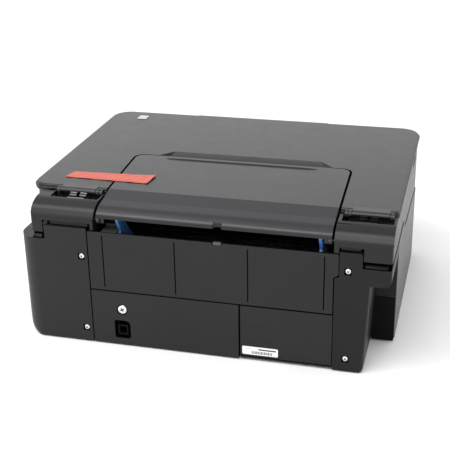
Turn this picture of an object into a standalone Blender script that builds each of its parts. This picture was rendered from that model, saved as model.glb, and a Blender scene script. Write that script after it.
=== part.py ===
"""Flatbed all-in-one inkjet printer with a rear paper feed, as an assembly of separate solids.

Frame: metres, +Z up, front face at -Y, rear face at +Y, origin at the middle of the footprint.
"Left" and "right" are as seen by someone who stands in front of the printer.
All numbers below are millimetres; MM turns them into metres.
"""
import math

import bmesh
import bpy
from mathutils import Matrix, Vector

MM = 0.001

# ---- driving dimensions ----
WIDTH = 430.0
DEPTH = 350.0
LID_TOP = 176.0
SIDE = WIDTH / 2
REAR = DEPTH / 2
FRONT = -REAR + 6.0            # front face of the case; the lid's lip reaches 6 mm further
WALL = 2.5                     # wall of the moulded covers
SCREW_WALL = 3.6               # thicker rear wall where the screw pockets are
CORNER = 24.0                  # rounding of the front corners, seen from above
BEZEL_DEPTH = 27.0
SEAM = 0.8                     # visible gap between two covers
GAP = 0.4                      # running and assembly clearance
CASE_BOTTOM = 1.5              # the covers hang this high over the table, on the feet

# ---- heights ----
LEDGE_Z = 129.0                # top of the lower case at the rear
SCANNER_TOP = 166.5            # glass and bezel
LID_BOTTOM = 167.2
SHOULDER_TOP = 172.0
SHOULDER_BOTTOM = 137.0
PANEL_TOP = 143.0              # upper edge of the rear panel, lower edge of the paper slot
SPLIT_Z = 70.4                 # seam between upper and lower rear panels

# ---- stations along Y ----
LID_REAR = REAR - 48.0
LID_FRONT = -REAR + 4.0
FRAME_REAR = REAR - 53.0       # rear wall of the scanner housing
SHOULDER_FRONT = REAR - 44.0
BAY_DEPTH = 77.5               # power module bay in the rear left corner
BAY_Y = REAR - BAY_DEPTH

# ---- stations along X ----
SLOT_RIGHT = 114.0             # ends of the paper slot
SLOT_LEFT = -150.0
SEAM_RIGHT = 128.0             # right end of the rear panels
SEAM_LEFT = -159.0
SEAM_LEFT_LOW = -154.0         # the left seam steps inwards below STEP_Z
STEP_Z = 116.0
SHOULDER_RIGHT_END = 196.0
POST_TOP_X = -193.0
POST_FOOT_X = -188.0
BAY_TOP = 109.0                # underside of the overhang above the bay
INNER_END_BOTTOM = 144.5       # the shoulders' inner ends stop above the rear panel

CARRIAGE_X = (143.0, 203.0)    # the carriage at rest, above the service station
PULLEY_X = -165.0
SUPPORT_FRONT_X = (-145.5, 124.2)   # ends of the paper support at its front edge
SUPPORT_REAR_X = (-149.5, 117.5)
EAR_X = ((113.5, 117.5), (-149.5, -145.5))
SUPPORT_GAP = 2.8
SUPPORT_FLOOR = 171.8          # bottom of the recess that the folded support lies in

# ---- joint axes, as (y, z) ----
LIFT_AXIS = (REAR - 2.0, 138.0)
LID_AXIS = (REAR - 46.0, 171.5)
SUPPORT_AXIS = (REAR - 9.0, 155.0)
TRAY_AXIS = (FRONT + 4.0, 24.0)
HINGE_X = {"right": (123.2, 179.2), "left": (-211.0, -157.0)}   # ends of the two lid hinges

parts = bpy.data.collections.new("inkjet_printer")
cutters = bpy.data.collections.new("cutters")


# ---------------------------------------------------------------- helpers
def clear_scene():
    for old in list(bpy.data.objects):
        bpy.data.objects.remove(old, do_unlink=True)
    bpy.context.scene.collection.children.link(parts)
    bpy.context.scene.collection.children.link(cutters)


def material(name, colour, roughness, metallic=0.0, alpha=1.0):
    made = bpy.data.materials.new(name)
    made.use_nodes = True
    shader = made.node_tree.nodes["Principled BSDF"]
    shader.inputs["Base Color"].default_value = (*colour, 1.0)
    shader.inputs["Roughness"].default_value = roughness
    shader.inputs["Metallic"].default_value = metallic
    shader.inputs["Alpha"].default_value = alpha
    return made


def add_object(name, mesh, finish):
    obj = bpy.data.objects.new(name, mesh)
    if finish is None:
        cutters.objects.link(obj)
        obj.hide_render = True
        obj.display_type = "WIRE"
    else:
        own = finish.copy()
        own.name = name
        mesh.materials.append(own)
        parts.objects.link(obj)
    return obj


def mesh_from(bm, name):
    bmesh.ops.recalc_face_normals(bm, faces=bm.faces)
    mesh = bpy.data.meshes.new(name)
    bm.to_mesh(mesh)
    bm.free()
    return mesh


def block(name, low, high, finish=None, bevel=0.0):
    """A box between two corners."""
    low, high = Vector(low) * MM, Vector(high) * MM
    bm = bmesh.new()
    bmesh.ops.create_cube(bm, size=1.0)
    bmesh.ops.scale(bm, vec=high - low, verts=bm.verts)
    obj = add_object(name, mesh_from(bm, name), finish)
    obj.location = (low + high) / 2
    if bevel:
        edge = obj.modifiers.new("edges", "BEVEL")
        edge.width = bevel * MM
        edge.segments = 1
    return obj


def tapered_block(name, low, high, narrow_x, rise):
    """A cutter whose low-Y face is narrow_x shorter at each end, with its lower edge raised by rise."""
    obj = block(name, low, high)
    for vertex in obj.data.vertices:
        if vertex.co.y < 0:
            vertex.co.x -= math.copysign(narrow_x * MM, vertex.co.x)
            if vertex.co.z < 0:
                vertex.co.z += rise * MM
    return obj


def rounded(corners, step=22.5):
    """Points of a closed outline; each corner is (u, v) or (u, v, radius)."""
    points = []
    count = len(corners)
    for i, corner in enumerate(corners):
        here = Vector(corner[:2])
        radius = corner[2] if len(corner) > 2 else 0.0
        if not radius:
            points.append(here)
            continue
        before = (Vector(corners[i - 1][:2]) - here).normalized()
        after = (Vector(corners[(i + 1) % count][:2]) - here).normalized()
        half = before.angle(after) / 2
        reach = radius / math.tan(half)
        centre = here + (before + after).normalized() * radius / math.sin(half)
        start = here + before * reach - centre
        turn = start.angle_signed(here + after * reach - centre)
        pieces = max(1, round(abs(math.degrees(turn)) / step))
        for n in range(pieces + 1):
            points.append(centre + Matrix.Rotation(-turn * n / pieces, 2) @ start)
    return points


AXES = {
    "Z": Matrix.Identity(3),
    "X": Matrix(((0, 0, 1), (1, 0, 0), (0, 1, 0))),
    "Y": Matrix(((1, 0, 0), (0, 0, -1), (0, 1, 0))),
    "REAR": Matrix(((-1, 0, 0), (0, 0, 1), (0, 1, 0))),
}


def prism(name, corners, low, high, along, finish=None):
    """An outline pushed along an axis: (x, y) along Z, (y, z) along X and (x, z) along Y."""
    curve = bpy.data.curves.new(name, "CURVE")
    curve.dimensions = "2D"
    curve.fill_mode = "BOTH"
    curve.extrude = (high - low) / 2 * MM
    points = rounded(corners)
    spline = curve.splines.new("POLY")
    spline.points.add(len(points) - 1)
    for place, point in zip(spline.points, points):
        place.co = (point.x * MM, point.y * MM, 0.0, 1.0)
    spline.use_cyclic_u = True
    drawn = bpy.data.objects.new(name + "_outline", curve)
    cutters.objects.link(drawn)
    depsgraph = bpy.context.evaluated_depsgraph_get()
    mesh = bpy.data.meshes.new_from_object(drawn.evaluated_get(depsgraph))
    bpy.data.objects.remove(drawn, do_unlink=True)
    bm = bmesh.new()
    bm.from_mesh(mesh)
    bmesh.ops.remove_doubles(bm, verts=bm.verts, dist=0.00001)
    bpy.data.meshes.remove(mesh)
    obj = add_object(name, mesh_from(bm, name), finish)
    middle = (low + high) / 2 * MM
    offset = {"Z": (0, 0, middle), "X": (middle, 0, 0), "Y": (0, middle, 0)}[along]
    obj.matrix_world = Matrix.Translation(offset) @ AXES[along].to_4x4()
    return obj


def rod(name, centre, radius, length, along, finish=None, sides=24):
    """A cylinder about its centre."""
    bm = bmesh.new()
    bmesh.ops.create_cone(
        bm, cap_ends=True, segments=sides, radius1=radius * MM, radius2=radius * MM, depth=length * MM
    )
    obj = add_object(name, mesh_from(bm, name), finish)
    obj.matrix_world = Matrix.Translation(Vector(centre) * MM) @ AXES[along].to_4x4()
    obj.data.shade_smooth()
    obj.data.set_sharp_from_angle(angle=math.radians(35))
    return obj


def turned(name, centre, profile, along, finish, sides=24):
    """A profile of (radius, height), from top to bottom, turned about the axis."""
    bm = bmesh.new()
    verts = [bm.verts.new((r * MM, 0.0, h * MM)) for r, h in profile]
    for first, second in zip(verts, verts[1:]):
        bm.edges.new((first, second))
    mesh = bpy.data.meshes.new(name)
    bm.to_mesh(mesh)
    bm.free()
    obj = add_object(name, mesh, finish)
    obj.matrix_world = Matrix.Translation(Vector(centre) * MM) @ AXES[along].to_4x4()
    screw = obj.modifiers.new("turn", "SCREW")
    screw.axis = "Z"
    screw.steps = sides
    screw.render_steps = sides
    screw.use_merge_vertices = True
    screw.merge_threshold = 0.00001
    return obj


def combine(target, operation, tools):
    for tool in tools:
        change = target.modifiers.new(tool.name, "BOOLEAN")
        change.operation = operation
        change.solver = "EXACT"
        change.object = tool
    return target


def cut(target, *tools):
    return combine(target, "DIFFERENCE", tools)


def fuse(target, *tools):
    return combine(target, "UNION", tools)


def hang_on(name, place, pieces):
    """An empty on a joint's axis that carries the pieces."""
    axis = bpy.data.objects.new(name, None)
    axis.empty_display_size = 0.03
    axis.location = Vector(place) * MM
    parts.objects.link(axis)
    bpy.context.view_layer.update()
    for piece in pieces:
        piece.parent = axis
        piece.matrix_parent_inverse = axis.matrix_world.inverted()
    return axis


# ---------------------------------------------------------------- materials
CASE = material("case_plastic", (0.045, 0.045, 0.047), 0.55)
LID = material("lid_plastic", (0.12, 0.12, 0.12), 0.5)
INNER = material("inner_plastic", (0.02, 0.02, 0.022), 0.6)
BLUE = material("guide_plastic", (0.1, 0.25, 0.6), 0.4)
STEEL = material("steel", (0.6, 0.6, 0.6), 0.3, 1.0)
RUBBER = material("rubber", (0.02, 0.02, 0.02), 0.8)
GLASS = material("glass", (0.8, 0.85, 0.85), 0.05, 0.0, 0.35)
WHITE = material("white_sheet", (0.8, 0.8, 0.78), 0.6)
GREEN = material("circuit_board", (0.02, 0.14, 0.06), 0.5)
TAPE = material("tape", (0.85, 0.15, 0.08), 0.5)
BADGE = material("badge", (0.6, 0.6, 0.6), 0.35, 0.6)


# ---------------------------------------------------------------- lower case
def seam_line(lift):
    """(y, z) of the side seam from rear to front, raised by lift."""
    return [(37.0, LEDGE_Z + lift), (20.0, 114.0 + lift), (FRONT - 10.0, 99.0 + lift)]


def above_seam(name):
    low = seam_line(0.0)
    return prism(name, [*low, (FRONT - 10.0, 260.0), (37.0, 260.0)], -260.0, 260.0, "X")


def footprint(inset):
    """Outline from above, with rounded front corners."""
    return [
        (-SIDE + inset, FRONT + inset, CORNER - inset), (SIDE - inset, FRONT + inset, CORNER - inset),
        (SIDE - inset, REAR + 20.0), (-SIDE + inset, REAR + 20.0),
    ]


def base_tray():
    inset = WALL + 2 * GAP
    right = SIDE - 9.0
    left = -SIDE + inset
    rear = REAR - 2 * WALL
    bay_x = POST_FOOT_X + inset
    outline = [
        (left, FRONT + 12.0, 12.0), (right, FRONT + 12.0, 12.0), (right, rear, 21.0),
        (bay_x, rear), (bay_x, BAY_Y - inset), (left, BAY_Y - inset),
    ]
    tray = prism("base_tray", outline, 3.0, 6.0, "Z", CASE)
    ribs = [
        block(f"tray_rib_{n}", (-170.0, y, 5.0), (140.0, y + 2.0, 11.0))
        for n, y in enumerate((-120.0, -70.0, 90.0))
    ]
    return fuse(tray, *ribs)


def right_cover():
    """Wraps the right side and the rear right corner, with the ledge under the right shoulder."""
    x0 = SEAM_RIGHT + SEAM
    front = FRONT + BEZEL_DEPTH + SEAM
    radius = 23.0
    outer = [(x0, front), (SIDE, front), (SIDE, REAR, radius), (x0, REAR)]
    cover = prism("right_cover", outer, CASE_BOTTOM, LEDGE_Z, "Z", CASE)
    lip = block("right_cover_lip", (x0, REAR - 6.0, LEDGE_Z - 2.0), (180.0, REAR, 146.0))
    main_room = block("right_cover_room", (x0 - 9.0, front - 9.0, -9.0), (SIDE - WALL, 124.0, 260.0))
    room = [
        (x0 - 9.0, 100.0), (SIDE - WALL, 100.0), (SIDE - WALL, REAR - SCREW_WALL, radius - SCREW_WALL),
        (x0 - 9.0, REAR - SCREW_WALL),
    ]
    rear_room = prism("right_cover_rear_room", room, -9.0, LEDGE_Z - WALL, "Z")
    pocket = prism(
        "right_cover_pocket", [(180.5, 168.0), (190.0, 168.0), (190.0, 190.0), (180.5, 190.0)],
        LEDGE_Z - 6.0, 140.0, "Z",
    )
    fuse(cover, lip)
    round_edge = [(SIDE + 9.0, -9.0), (SIDE + 9.0, 12.0), (SIDE, 12.0), (SIDE - 0.5, 7.0), (SIDE - 1.3, 3.5),
                  (SIDE - 2.0, CASE_BOTTOM), (SIDE - 2.0, -9.0)]
    rounding = prism("right_cover_rounding", round_edge, -260.0, 260.0, "Y")
    return cut(cover, main_room, rear_room, pocket, rounding, above_seam("right_cover_top"))


def left_rear_cover():
    """Rear left cover: a post beside the power module bay, and the overhang above the bay."""
    outer = [
        (SEAM_LEFT, LEDGE_Z), (-SIDE, LEDGE_Z), (-SIDE, BAY_TOP, 8.0), (POST_TOP_X, BAY_TOP),
        (POST_FOOT_X, CASE_BOTTOM), (SEAM_LEFT_LOW, CASE_BOTTOM), (SEAM_LEFT_LOW, STEP_Z - 2.0),
        (SEAM_LEFT, STEP_Z + 2.0),
    ]
    cover = prism("left_rear_cover", outer, BAY_Y + SEAM, REAR, "Y", CASE)
    lip = block("left_cover_lip", (-183.5, REAR - 6.0, LEDGE_Z - 3.0), (SEAM_LEFT, REAR, 146.4))
    room = [
        (SEAM_LEFT_LOW + 9.0, LEDGE_Z - WALL), (-SIDE + WALL, LEDGE_Z - WALL),
        (-SIDE + WALL, BAY_TOP + WALL, 5.5), (POST_TOP_X + WALL, BAY_TOP + WALL),
        (POST_FOOT_X + WALL, -9.0), (SEAM_LEFT_LOW + 9.0, -9.0),
    ]
    inside = prism("left_cover_room", room, BAY_Y - 9.0, REAR - SCREW_WALL, "Y")
    socket = block("power_socket_hole", (-200.0, 143.0, 48.0), (-180.0, 151.0, 72.0))
    fuse(cover, lip)
    return cut(cover, inside, socket)


def left_side_cover():
    """Left side wall, with the return wall that closes the front of the power module bay."""
    front = FRONT + BEZEL_DEPTH + SEAM
    outer = [
        (-SIDE, front), (-SIDE + WALL, front), (-SIDE + WALL, BAY_Y - WALL),
        (POST_FOOT_X - GAP, BAY_Y - WALL), (POST_FOOT_X - GAP, BAY_Y), (-SIDE, BAY_Y),
    ]
    cover = prism("left_side_cover", outer, CASE_BOTTOM, LEDGE_Z, "Z", CASE)
    round_foot = [(BAY_Y + 5.0, -9.0), (BAY_Y + 5.0, 11.0), (BAY_Y, 11.0), (BAY_Y - 2.8, 4.3),
                  (BAY_Y - 9.5, CASE_BOTTOM), (BAY_Y - 9.5, -9.0)]
    foot = prism("side_cover_foot", round_foot, -260.0, -150.0, "X")
    groove = block("bay_groove", (-SIDE - 5.0, BAY_Y - 0.8, 60.0), (-150.0, BAY_Y + 5.0, 61.0))
    return cut(cover, foot, groove, above_seam("left_side_top"))


def rear_panels():
    right = SEAM_RIGHT
    upper_outline = [
        (right, SPLIT_Z + SEAM / 2), (right, PANEL_TOP), (SEAM_LEFT + SEAM, PANEL_TOP),
        (SEAM_LEFT + SEAM, STEP_Z + 3.0), (SEAM_LEFT_LOW + SEAM, STEP_Z - 1.0),
        (SEAM_LEFT_LOW + SEAM, SPLIT_Z + SEAM / 2),
    ]
    upper = prism("rear_panel_upper", upper_outline, REAR - 3.0, REAR, "Y", CASE)
    grooves = [
        block(f"rear_groove_{n}", (x - 0.5, REAR - 1.2, 75.0), (x + 0.5, REAR + 5.0, 139.5))
        for n, x in enumerate((110.0, 25.0, -58.5, -143.0))
    ]
    cut(upper, *grooves)
    joint_x = -48.0
    top = SPLIT_Z - SEAM / 2
    lower = block("rear_panel_lower", (joint_x, REAR - 3.0, CASE_BOTTOM), (right, REAR, top), CASE)
    port = prism(
        "usb_hole", [(82.0, 10.0, 2.0), (101.0, 10.0, 2.0), (101.0, 33.0, 2.0), (82.0, 33.0, 5.0)],
        REAR - 9.0, REAR + 9.0, "Y",
    )
    cut(lower, port)
    label = block(
        "rear_label_panel", (SEAM_LEFT_LOW + SEAM, REAR - 4.2, 3.0), (joint_x - SEAM, REAR - 1.2, top), CASE
    )
    cut(label, block("label_seat", (-94.5, REAR - 1.5, 7.0), (-51.0, REAR + 5.0, 20.5)))
    return [upper, lower, label]


def serial_label():
    corners = [(-92.7, 7.8, 1.5), (-51.4, 7.8, 1.5), (-51.4, 18.0, 1.5), (-92.7, 18.0, 1.5)]
    return prism("serial_label", corners, REAR - 1.4, REAR - 1.1, "Y", WHITE)


def front_bezel():
    outer = prism("front_bezel", footprint(0.0), CASE_BOTTOM, 104.0, "Z", CASE)
    inside = prism("bezel_room", footprint(WALL), -9.0, 97.0, "Z")
    behind = block("behind_bezel", (-260.0, FRONT + BEZEL_DEPTH, -9.0), (260.0, 260.0, 200.0))
    mouth = block("bezel_mouth", (-160.0, FRONT - 9.0, 21.0), (140.0, FRONT + 40.0, 86.0))
    return cut(outer, behind, inside, mouth, above_seam("bezel_top"))


def output_tray():
    y, z = TRAY_AXIS
    tray = block("output_tray", (-158.0, FRONT + 0.3, z + 4.5), (138.0, FRONT + 3.3, 84.5), CASE)
    spine = rod("tray_spine", (-10.0, y, z), 2.5, 292.0, "X", sides=12)
    web = block("tray_web", (-150.0, y - 2.3, z), (130.0, y + 0.7, z + 8.0))
    grip = block("tray_grip", (-35.0, FRONT - 5.0, 78.0), (15.0, FRONT + 1.6, 90.0))
    fuse(tray, web, spine)
    return cut(tray, grip)


def feet():
    spots = {"foot_front_left": (-185.0, -140.0), "foot_front_right": (185.0, -140.0),
             "foot_rear_left": (-160.0, 150.0), "foot_rear_right": (185.0, 140.0)}
    return [rod(name, (x, y, 1.35), 8.0, 2.7, "Z", RUBBER, 20) for name, (x, y) in spots.items()]


SCREW_SPOTS = {
    "cover_screw_1": (136.5, 111.0), "cover_screw_2": (136.5, 18.8),
    "cover_screw_3": (-168.4, 124.0), "cover_screw_4": (-168.4, 16.6),
}
LARGE_SCREW = (91.0, 47.2)
POCKET = 4.0                   # half the side of a screw's square pocket
POCKET_DEPTH = 1.9


def screws():
    """Pan heads seated in small square pockets of the rear covers, and one large head."""
    pan = [(0.0, 1.7), (2.2, 1.5), (3.3, 0.4), (3.3, 0.0), (1.3, 0.0), (1.3, -8.0), (0.0, -8.0)]
    large = [(0.0, 0.9), (4.0, 0.7), (5.7, 0.0), (5.7, -0.3), (1.8, -0.3), (1.8, -9.0), (0.0, -9.0)]
    for name, (x, z) in SCREW_SPOTS.items():
        turned(name, (x, REAR - POCKET_DEPTH, z), pan, "REAR", STEEL, 16)
    turned("panel_screw_large", (LARGE_SCREW[0], REAR - 1.0, LARGE_SCREW[1]), large, "REAR", STEEL, 20)


def screw_pockets(covers, lower):
    for (name, (x, z)), cover in zip(SCREW_SPOTS.items(), covers):
        seat = block(f"{name}_pocket", (x - POCKET, REAR - POCKET_DEPTH, z - POCKET),
                     (x + POCKET, REAR + 5.0, z + POCKET))
        hole = rod(f"{name}_hole", (x, REAR - 3.0, z), 1.7, 12.0, "Y", sides=12)
        cut(cover, seat, hole)
    x, z = LARGE_SCREW
    seat = rod("large_screw_seat", (x, REAR, z), 6.4, 3.0, "Y")
    cut(lower, seat, rod("large_screw_hole", (x, REAR - 3.0, z), 2.2, 12.0, "Y", sides=12))


# ---------------------------------------------------------------- electronics
def electronics():
    board = block("logic_board", (20.0, 158.0, 10.0), (124.0, 159.6, 62.0), GREEN)
    shell = block("usb_port", (85.5, 160.0, 14.0), (97.5, 173.5, 26.5), STEEL)
    cut(shell, block("usb_socket", (87.0, 163.0, 15.5), (96.0, 190.0, 25.0)))
    inlet = block("power_inlet", (-190.6, 143.4, 48.4), (-178.0, 150.6, 71.6), INNER)
    cut(inlet, block("inlet_socket", (-200.0, 144.7, 51.0), (-183.0, 149.3, 69.0)))
    return [board, shell, inlet]


# ---------------------------------------------------------------- paper path
RAMP_TOP = (REAR - 5.0, 141.0)
RAMP_FOOT = (REAR - 46.0, 50.0)


def paper_ramp():
    (y0, z0), (y1, z1) = RAMP_TOP, RAMP_FOOT
    outline = [(y0, z0), (y0 - 3.0, z0), (y1 - 3.0, z1), (y1 - 14.0, z1 - 9.0), (y1 - 14.0, z1 - 12.0),
               (y1, z1 - 3.0)]
    return prism("paper_ramp", outline, SLOT_LEFT, SLOT_RIGHT, "X", INNER)


def edge_guides():
    """Two side plates that stand on the ramp and slide along X."""
    outline = [
        (REAR - 6.7, 157.8, 2.0), (REAR - 16.5, 139.8), (REAR - 13.0, 136.0), (REAR - 34.0, 87.0),
        (REAR - 55.0, 92.0, 6.0), (REAR - 51.0, 124.0), (REAR - 29.0, 148.0), (REAR - 14.5, 162.5, 4.0),
    ]
    right = prism("edge_guide_right", outline, 92.5, 95.5, "X", BLUE)
    left = prism("edge_guide_left", outline, -137.9, -134.9, "X", BLUE)
    pad = [(REAR - 12.0, 136.0), (REAR - 28.5, 99.5), (REAR - 30.5, 100.5), (REAR - 14.0, 137.0)]
    fuse(right, prism("guide_shoe_right", pad, 83.5, 93.5, "X"))
    fuse(left, prism("guide_shoe_left", pad, -135.9, -125.9, "X"))
    return [right, left]


def rollers():
    """Feed, drive and exit rollers: each a steel shaft with its rubber rings, turned in one piece."""
    def ringed(name, centre, shaft, ring, length, rings, width, finish):
        profile = [(0.0, length / 2), (shaft, length / 2)]
        for middle in rings:
            profile += [(shaft, middle + width / 2), (ring, middle + width / 2),
                        (ring, middle - width / 2), (shaft, middle - width / 2)]
        profile += [(shaft, -length / 2), (0.0, -length / 2)]
        return turned(name, centre, profile, "X", finish, 16)

    feed = ringed("feed_roller", (-18.0, REAR - 62.0, 62.0), 3.0, 13.0, 300.0, (40.0, -40.0), 18.0, RUBBER)
    drive = ringed("drive_roller", (-5.0, REAR - 112.0, 48.0), 5.0, 5.6, 350.0, (90.0, 30.0, -30.0, -90.0),
                   30.0, STEEL)
    exit_roller = ringed("exit_roller", (-5.0, REAR - 168.0, 44.0), 3.0, 6.0, 340.0,
                         (90.0, 30.0, -30.0, -90.0), 10.0, RUBBER)
    return [feed, drive, exit_roller]


def print_mechanism():
    platen = block("platen", (-155.0, REAR - 158.0, 30.0), (120.0, REAR - 120.0, 46.0), INNER)
    channels = [
        block(f"platen_channel_{n}", (x, REAR - 170.0, 43.5), (x + 18.0, REAR - 110.0, 50.0))
        for n, x in enumerate(range(-145, 100, 30))
    ]
    cut(platen, *channels)
    rail_outline = [
        (REAR - 98.0, 66.0), (REAR - 100.0, 66.0), (REAR - 100.0, 102.0), (REAR - 112.0, 102.0),
        (REAR - 112.0, 104.0), (REAR - 98.0, 104.0),
    ]
    rail = prism("carriage_rail", rail_outline, -205.0, 205.0, "X", STEEL)
    motor = rod("carriage_motor", (PULLEY_X, REAR - 80.0, 84.0), 13.0, 30.0, "Y", STEEL, 20)
    pulley = rod("motor_pulley", (PULLEY_X, REAR - 104.5, 84.0), 5.0, 6.0, "Y", INNER, 16)
    x0 = PULLEY_X - 6.6
    belt_outer = [(x0, 77.4, 6.5), (206.6, 77.4, 6.5), (206.6, 90.6, 6.5), (x0, 90.6, 6.5)]
    x0 += 1.2
    belt_inner = [(x0, 78.6, 5.3), (205.4, 78.6, 5.3), (205.4, 89.4, 5.3), (x0, 89.4, 5.3)]
    belt = prism("carriage_belt", belt_outer, REAR - 106.5, REAR - 102.5, "Y", RUBBER)
    cut(belt, prism("belt_inside", belt_inner, REAR - 120.0, REAR - 90.0, "Y"))
    station = block("service_station", (140.0, REAR - 165.0, 8.0), (204.0, REAR - 118.0, 46.0), INNER)
    cut(station, block("station_well", (146.0, REAR - 158.0, 30.0), (198.0, REAR - 125.0, 60.0)))
    feed_motor = rod("feed_motor", (-196.0, REAR - 135.0, 34.0), 12.0, 26.0, "X", STEEL, 20)
    return [platen, rail, motor, pulley, belt, station, feed_motor]


def carriage_set():
    x0, x1 = CARRIAGE_X
    body = block("carriage", (x0, REAR - 162.0, 50.0), (x1, REAR - 118.0, 96.0), INNER)
    middle = (x0 + x1) / 2
    rooms = [
        block(f"cartridge_room_{n}", (a, REAR - 158.0, 54.0), (b, REAR - 122.0, 120.0))
        for n, (a, b) in enumerate(((x0 + 3.0, middle - 1.5), (middle + 1.5, x1 - 3.0)))
    ]
    cut(body, *rooms)
    colour = block("colour_cartridge", (x0 + 3.5, REAR - 157.5, 54.5), (middle - 2.0, REAR - 122.5, 98.0),
                   CASE, 1.5)
    black = block("black_cartridge", (middle + 2.0, REAR - 157.5, 54.5), (x1 - 3.5, REAR - 122.5, 98.0),
                  INNER, 1.5)
    return [body, colour, black]


# ---------------------------------------------------------------- scanner unit
def shoulder_profile(inset):
    """(y, z) of the rounded rear end of the scanner unit, closed along the bottom."""
    top = SHOULDER_TOP - inset
    rear = REAR - 1.0 - inset
    front = SHOULDER_FRONT + inset
    bottom = SHOULDER_BOTTOM if not inset else SHOULDER_BOTTOM - 20.0
    return [(front, bottom), (rear, bottom), (rear, 154.0), (rear - 1.4, 158.6, 9.0),
            (rear - 7.6, 167.0 - inset, 15.0), (rear - 21.0, top, 24.0), (front, top)]


def shoulder(name, x0, x1, lip_x, inner_x, hinge_x):
    """One rear end of the scanner unit: a rounded shell, open below, notched over the cover's lip."""
    body = prism(name, shoulder_profile(0.0), x0, x1, "X", CASE)
    room = prism(name + "_room", shoulder_profile(WALL), x0 + WALL, x1 - WALL, "X")
    over_lip = block(name + "_over_lip", (lip_x[0], REAR - 9.0, 120.0), (lip_x[1], REAR + 9.0, 152.0))
    pocket = block(name + "_pocket", (hinge_x[0] - 1.0, SHOULDER_FRONT - 9.0, 156.0),
                   (hinge_x[1] + 1.0, SHOULDER_FRONT + 19.0, 190.0))
    over_panel = block(name + "_over_panel", (inner_x[0], REAR - 9.0, 120.0),
                       (inner_x[1], REAR + 9.0, INNER_END_BOTTOM))
    y, z = SUPPORT_AXIS
    pin_hole = rod(name + "_pin_hole", ((x0 + x1) / 2, y, z), 1.9, x1 - x0 + 40.0, "X", sides=16)
    return cut(body, room, over_lip, over_panel, pocket, pin_hole)


def scanner_housing():
    seam = seam_line(SEAM)
    side = [(FRAME_REAR, SCANNER_TOP), (FRONT, SCANNER_TOP), (FRONT, 99.9 + SEAM), *seam[1::-1],
            (FRAME_REAR, LEDGE_Z + SEAM)]
    frame = prism("scanner_frame", side, -SIDE - 5.0, SIDE + 5.0, "X", CASE)
    outline = footprint(1.0)[:2] + [(SIDE - 1.0, FRAME_REAR, 18.0), (1.0 - SIDE, FRAME_REAR)]
    combine(frame, "INTERSECT", [prism("frame_footprint", outline, 60.0, 200.0, "Z")])
    half = SIDE - 1.0 - WALL
    inner = footprint(1.0 + WALL)[:2] + [(half, FRAME_REAR - WALL, 15.5), (-half, FRAME_REAR - WALL)]
    room = prism("frame_room", inner, 60.0, SCANNER_TOP - 3.5, "Z")
    seat = block("glass_seat", (-156.0, -131.0, SCANNER_TOP - 2.3), (156.0, 96.0, SCANNER_TOP + 9.0))
    window = block("glass_window", (-150.0, -125.0, 120.0), (150.0, 90.0, 200.0))
    grip = block("grip_slot", (-SIDE - 9.0, -120.0, 152.0), (-SIDE + 5.0, -80.0, 160.0))
    cut(frame, room, seat, window, grip)
    glass = block("scanner_glass", (-155.5, -130.5, SCANNER_TOP - 2.0), (155.5, 95.5, SCANNER_TOP), GLASS)
    rear = FRAME_REAR - 3.5
    floor_outline = footprint(4.4)[:2] + [(SIDE - 4.4, rear, 15.5), (4.4 - SIDE, rear)]
    floor = prism("scanner_floor", floor_outline, 130.5, 133.0, "Z", INNER)
    rail = rod("scan_rail", (0.0, -18.0, 138.0), 4.0, 400.0, "X", STEEL, 16)
    bar = block("scan_bar", (128.0, -128.0, 143.5), (150.0, 92.0, 160.0), INNER)
    lamp = block("scan_window", (137.0, -120.0, 158.0), (141.0, 84.0, 170.0))
    cut(bar, lamp)
    return [frame, glass, floor, rail, bar]


def shoulders():
    right = shoulder("right_shoulder", SUPPORT_REAR_X[1] + SUPPORT_GAP, SHOULDER_RIGHT_END,
                     (124.0, 182.0), (110.0, 130.0), HINGE_X["right"])
    left = shoulder("left_shoulder", -SIDE, SUPPORT_REAR_X[0] - SUPPORT_GAP,
                    (-184.5, -158.0), (-160.0, -150.0), HINGE_X["left"])
    notch = block("shoulder_notch", (-168.0, 150.0, 167.0), (-154.5, 169.0, 190.0))
    return [right, cut(left, notch)]


def lid_hinges():
    """Leg that stands in the shoulder's pocket, with the barrel that the lid turns on."""
    y, z = LID_AXIS
    made = []
    for side, (x0, x1) in HINGE_X.items():
        name = "lid_hinge_" + side
        leg = block(name, (x0 + 3.0, y + 1.6, 157.0), (x1 - 3.0, y + 17.0, 166.0), INNER)
        upright = block(name + "_upright", (x0 + 6.0, y - 1.6, 160.0), (x1 - 6.0, y + 1.6, z))
        barrel = rod(name + "_barrel", ((x0 + x1) / 2, y, z), 3.2, x1 - x0, "X", sides=16)
        made.append(fuse(leg, upright, barrel))
    return made


def control_panel():
    """Panel on the scanner unit's front face, with a display window and sprung buttons."""
    y = FRONT
    panel = block("control_panel", (-120.0, y - 2.9, 112.0), (120.0, y - GAP, 158.0), LID)
    spots = {"power_button": -104.0, "cancel_button": 52.0, "scan_button": 76.0, "copy_button": 100.0}
    wells = [
        rod(name + "_well", (x, y, 135.0), 7.6, 30.0, "Y", sides=24) for name, x in spots.items()
    ]
    glass_seat = block("display_seat", (-60.0, y - 9.0, 121.0), (20.0, y - 1.6, 149.0))
    cut(panel, glass_seat, *wells)
    buttons = [
        rod(name, (x, y - 3.0, 135.0), 7.2, 2.4, "Y", CASE, 24) for name, x in spots.items()
    ]
    window = block("display_window", (-59.5, y - 2.9, 121.5), (19.5, y - 1.9, 148.5), INNER)
    return [panel, window, *buttons]


# ---------------------------------------------------------------- lid
def support_outline(grow, front, radius):
    """The folded support seen from above: slightly wider at the front than at the rear."""
    (left, right), (rear_left, rear_right) = SUPPORT_FRONT_X, SUPPORT_REAR_X
    return [
        (left - grow, front, radius), (right + grow, front, radius), (rear_right + grow, 122.0),
        (rear_right + grow, 200.0), (rear_left - grow, 200.0), (rear_left - grow, 122.0),
    ]


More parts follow.
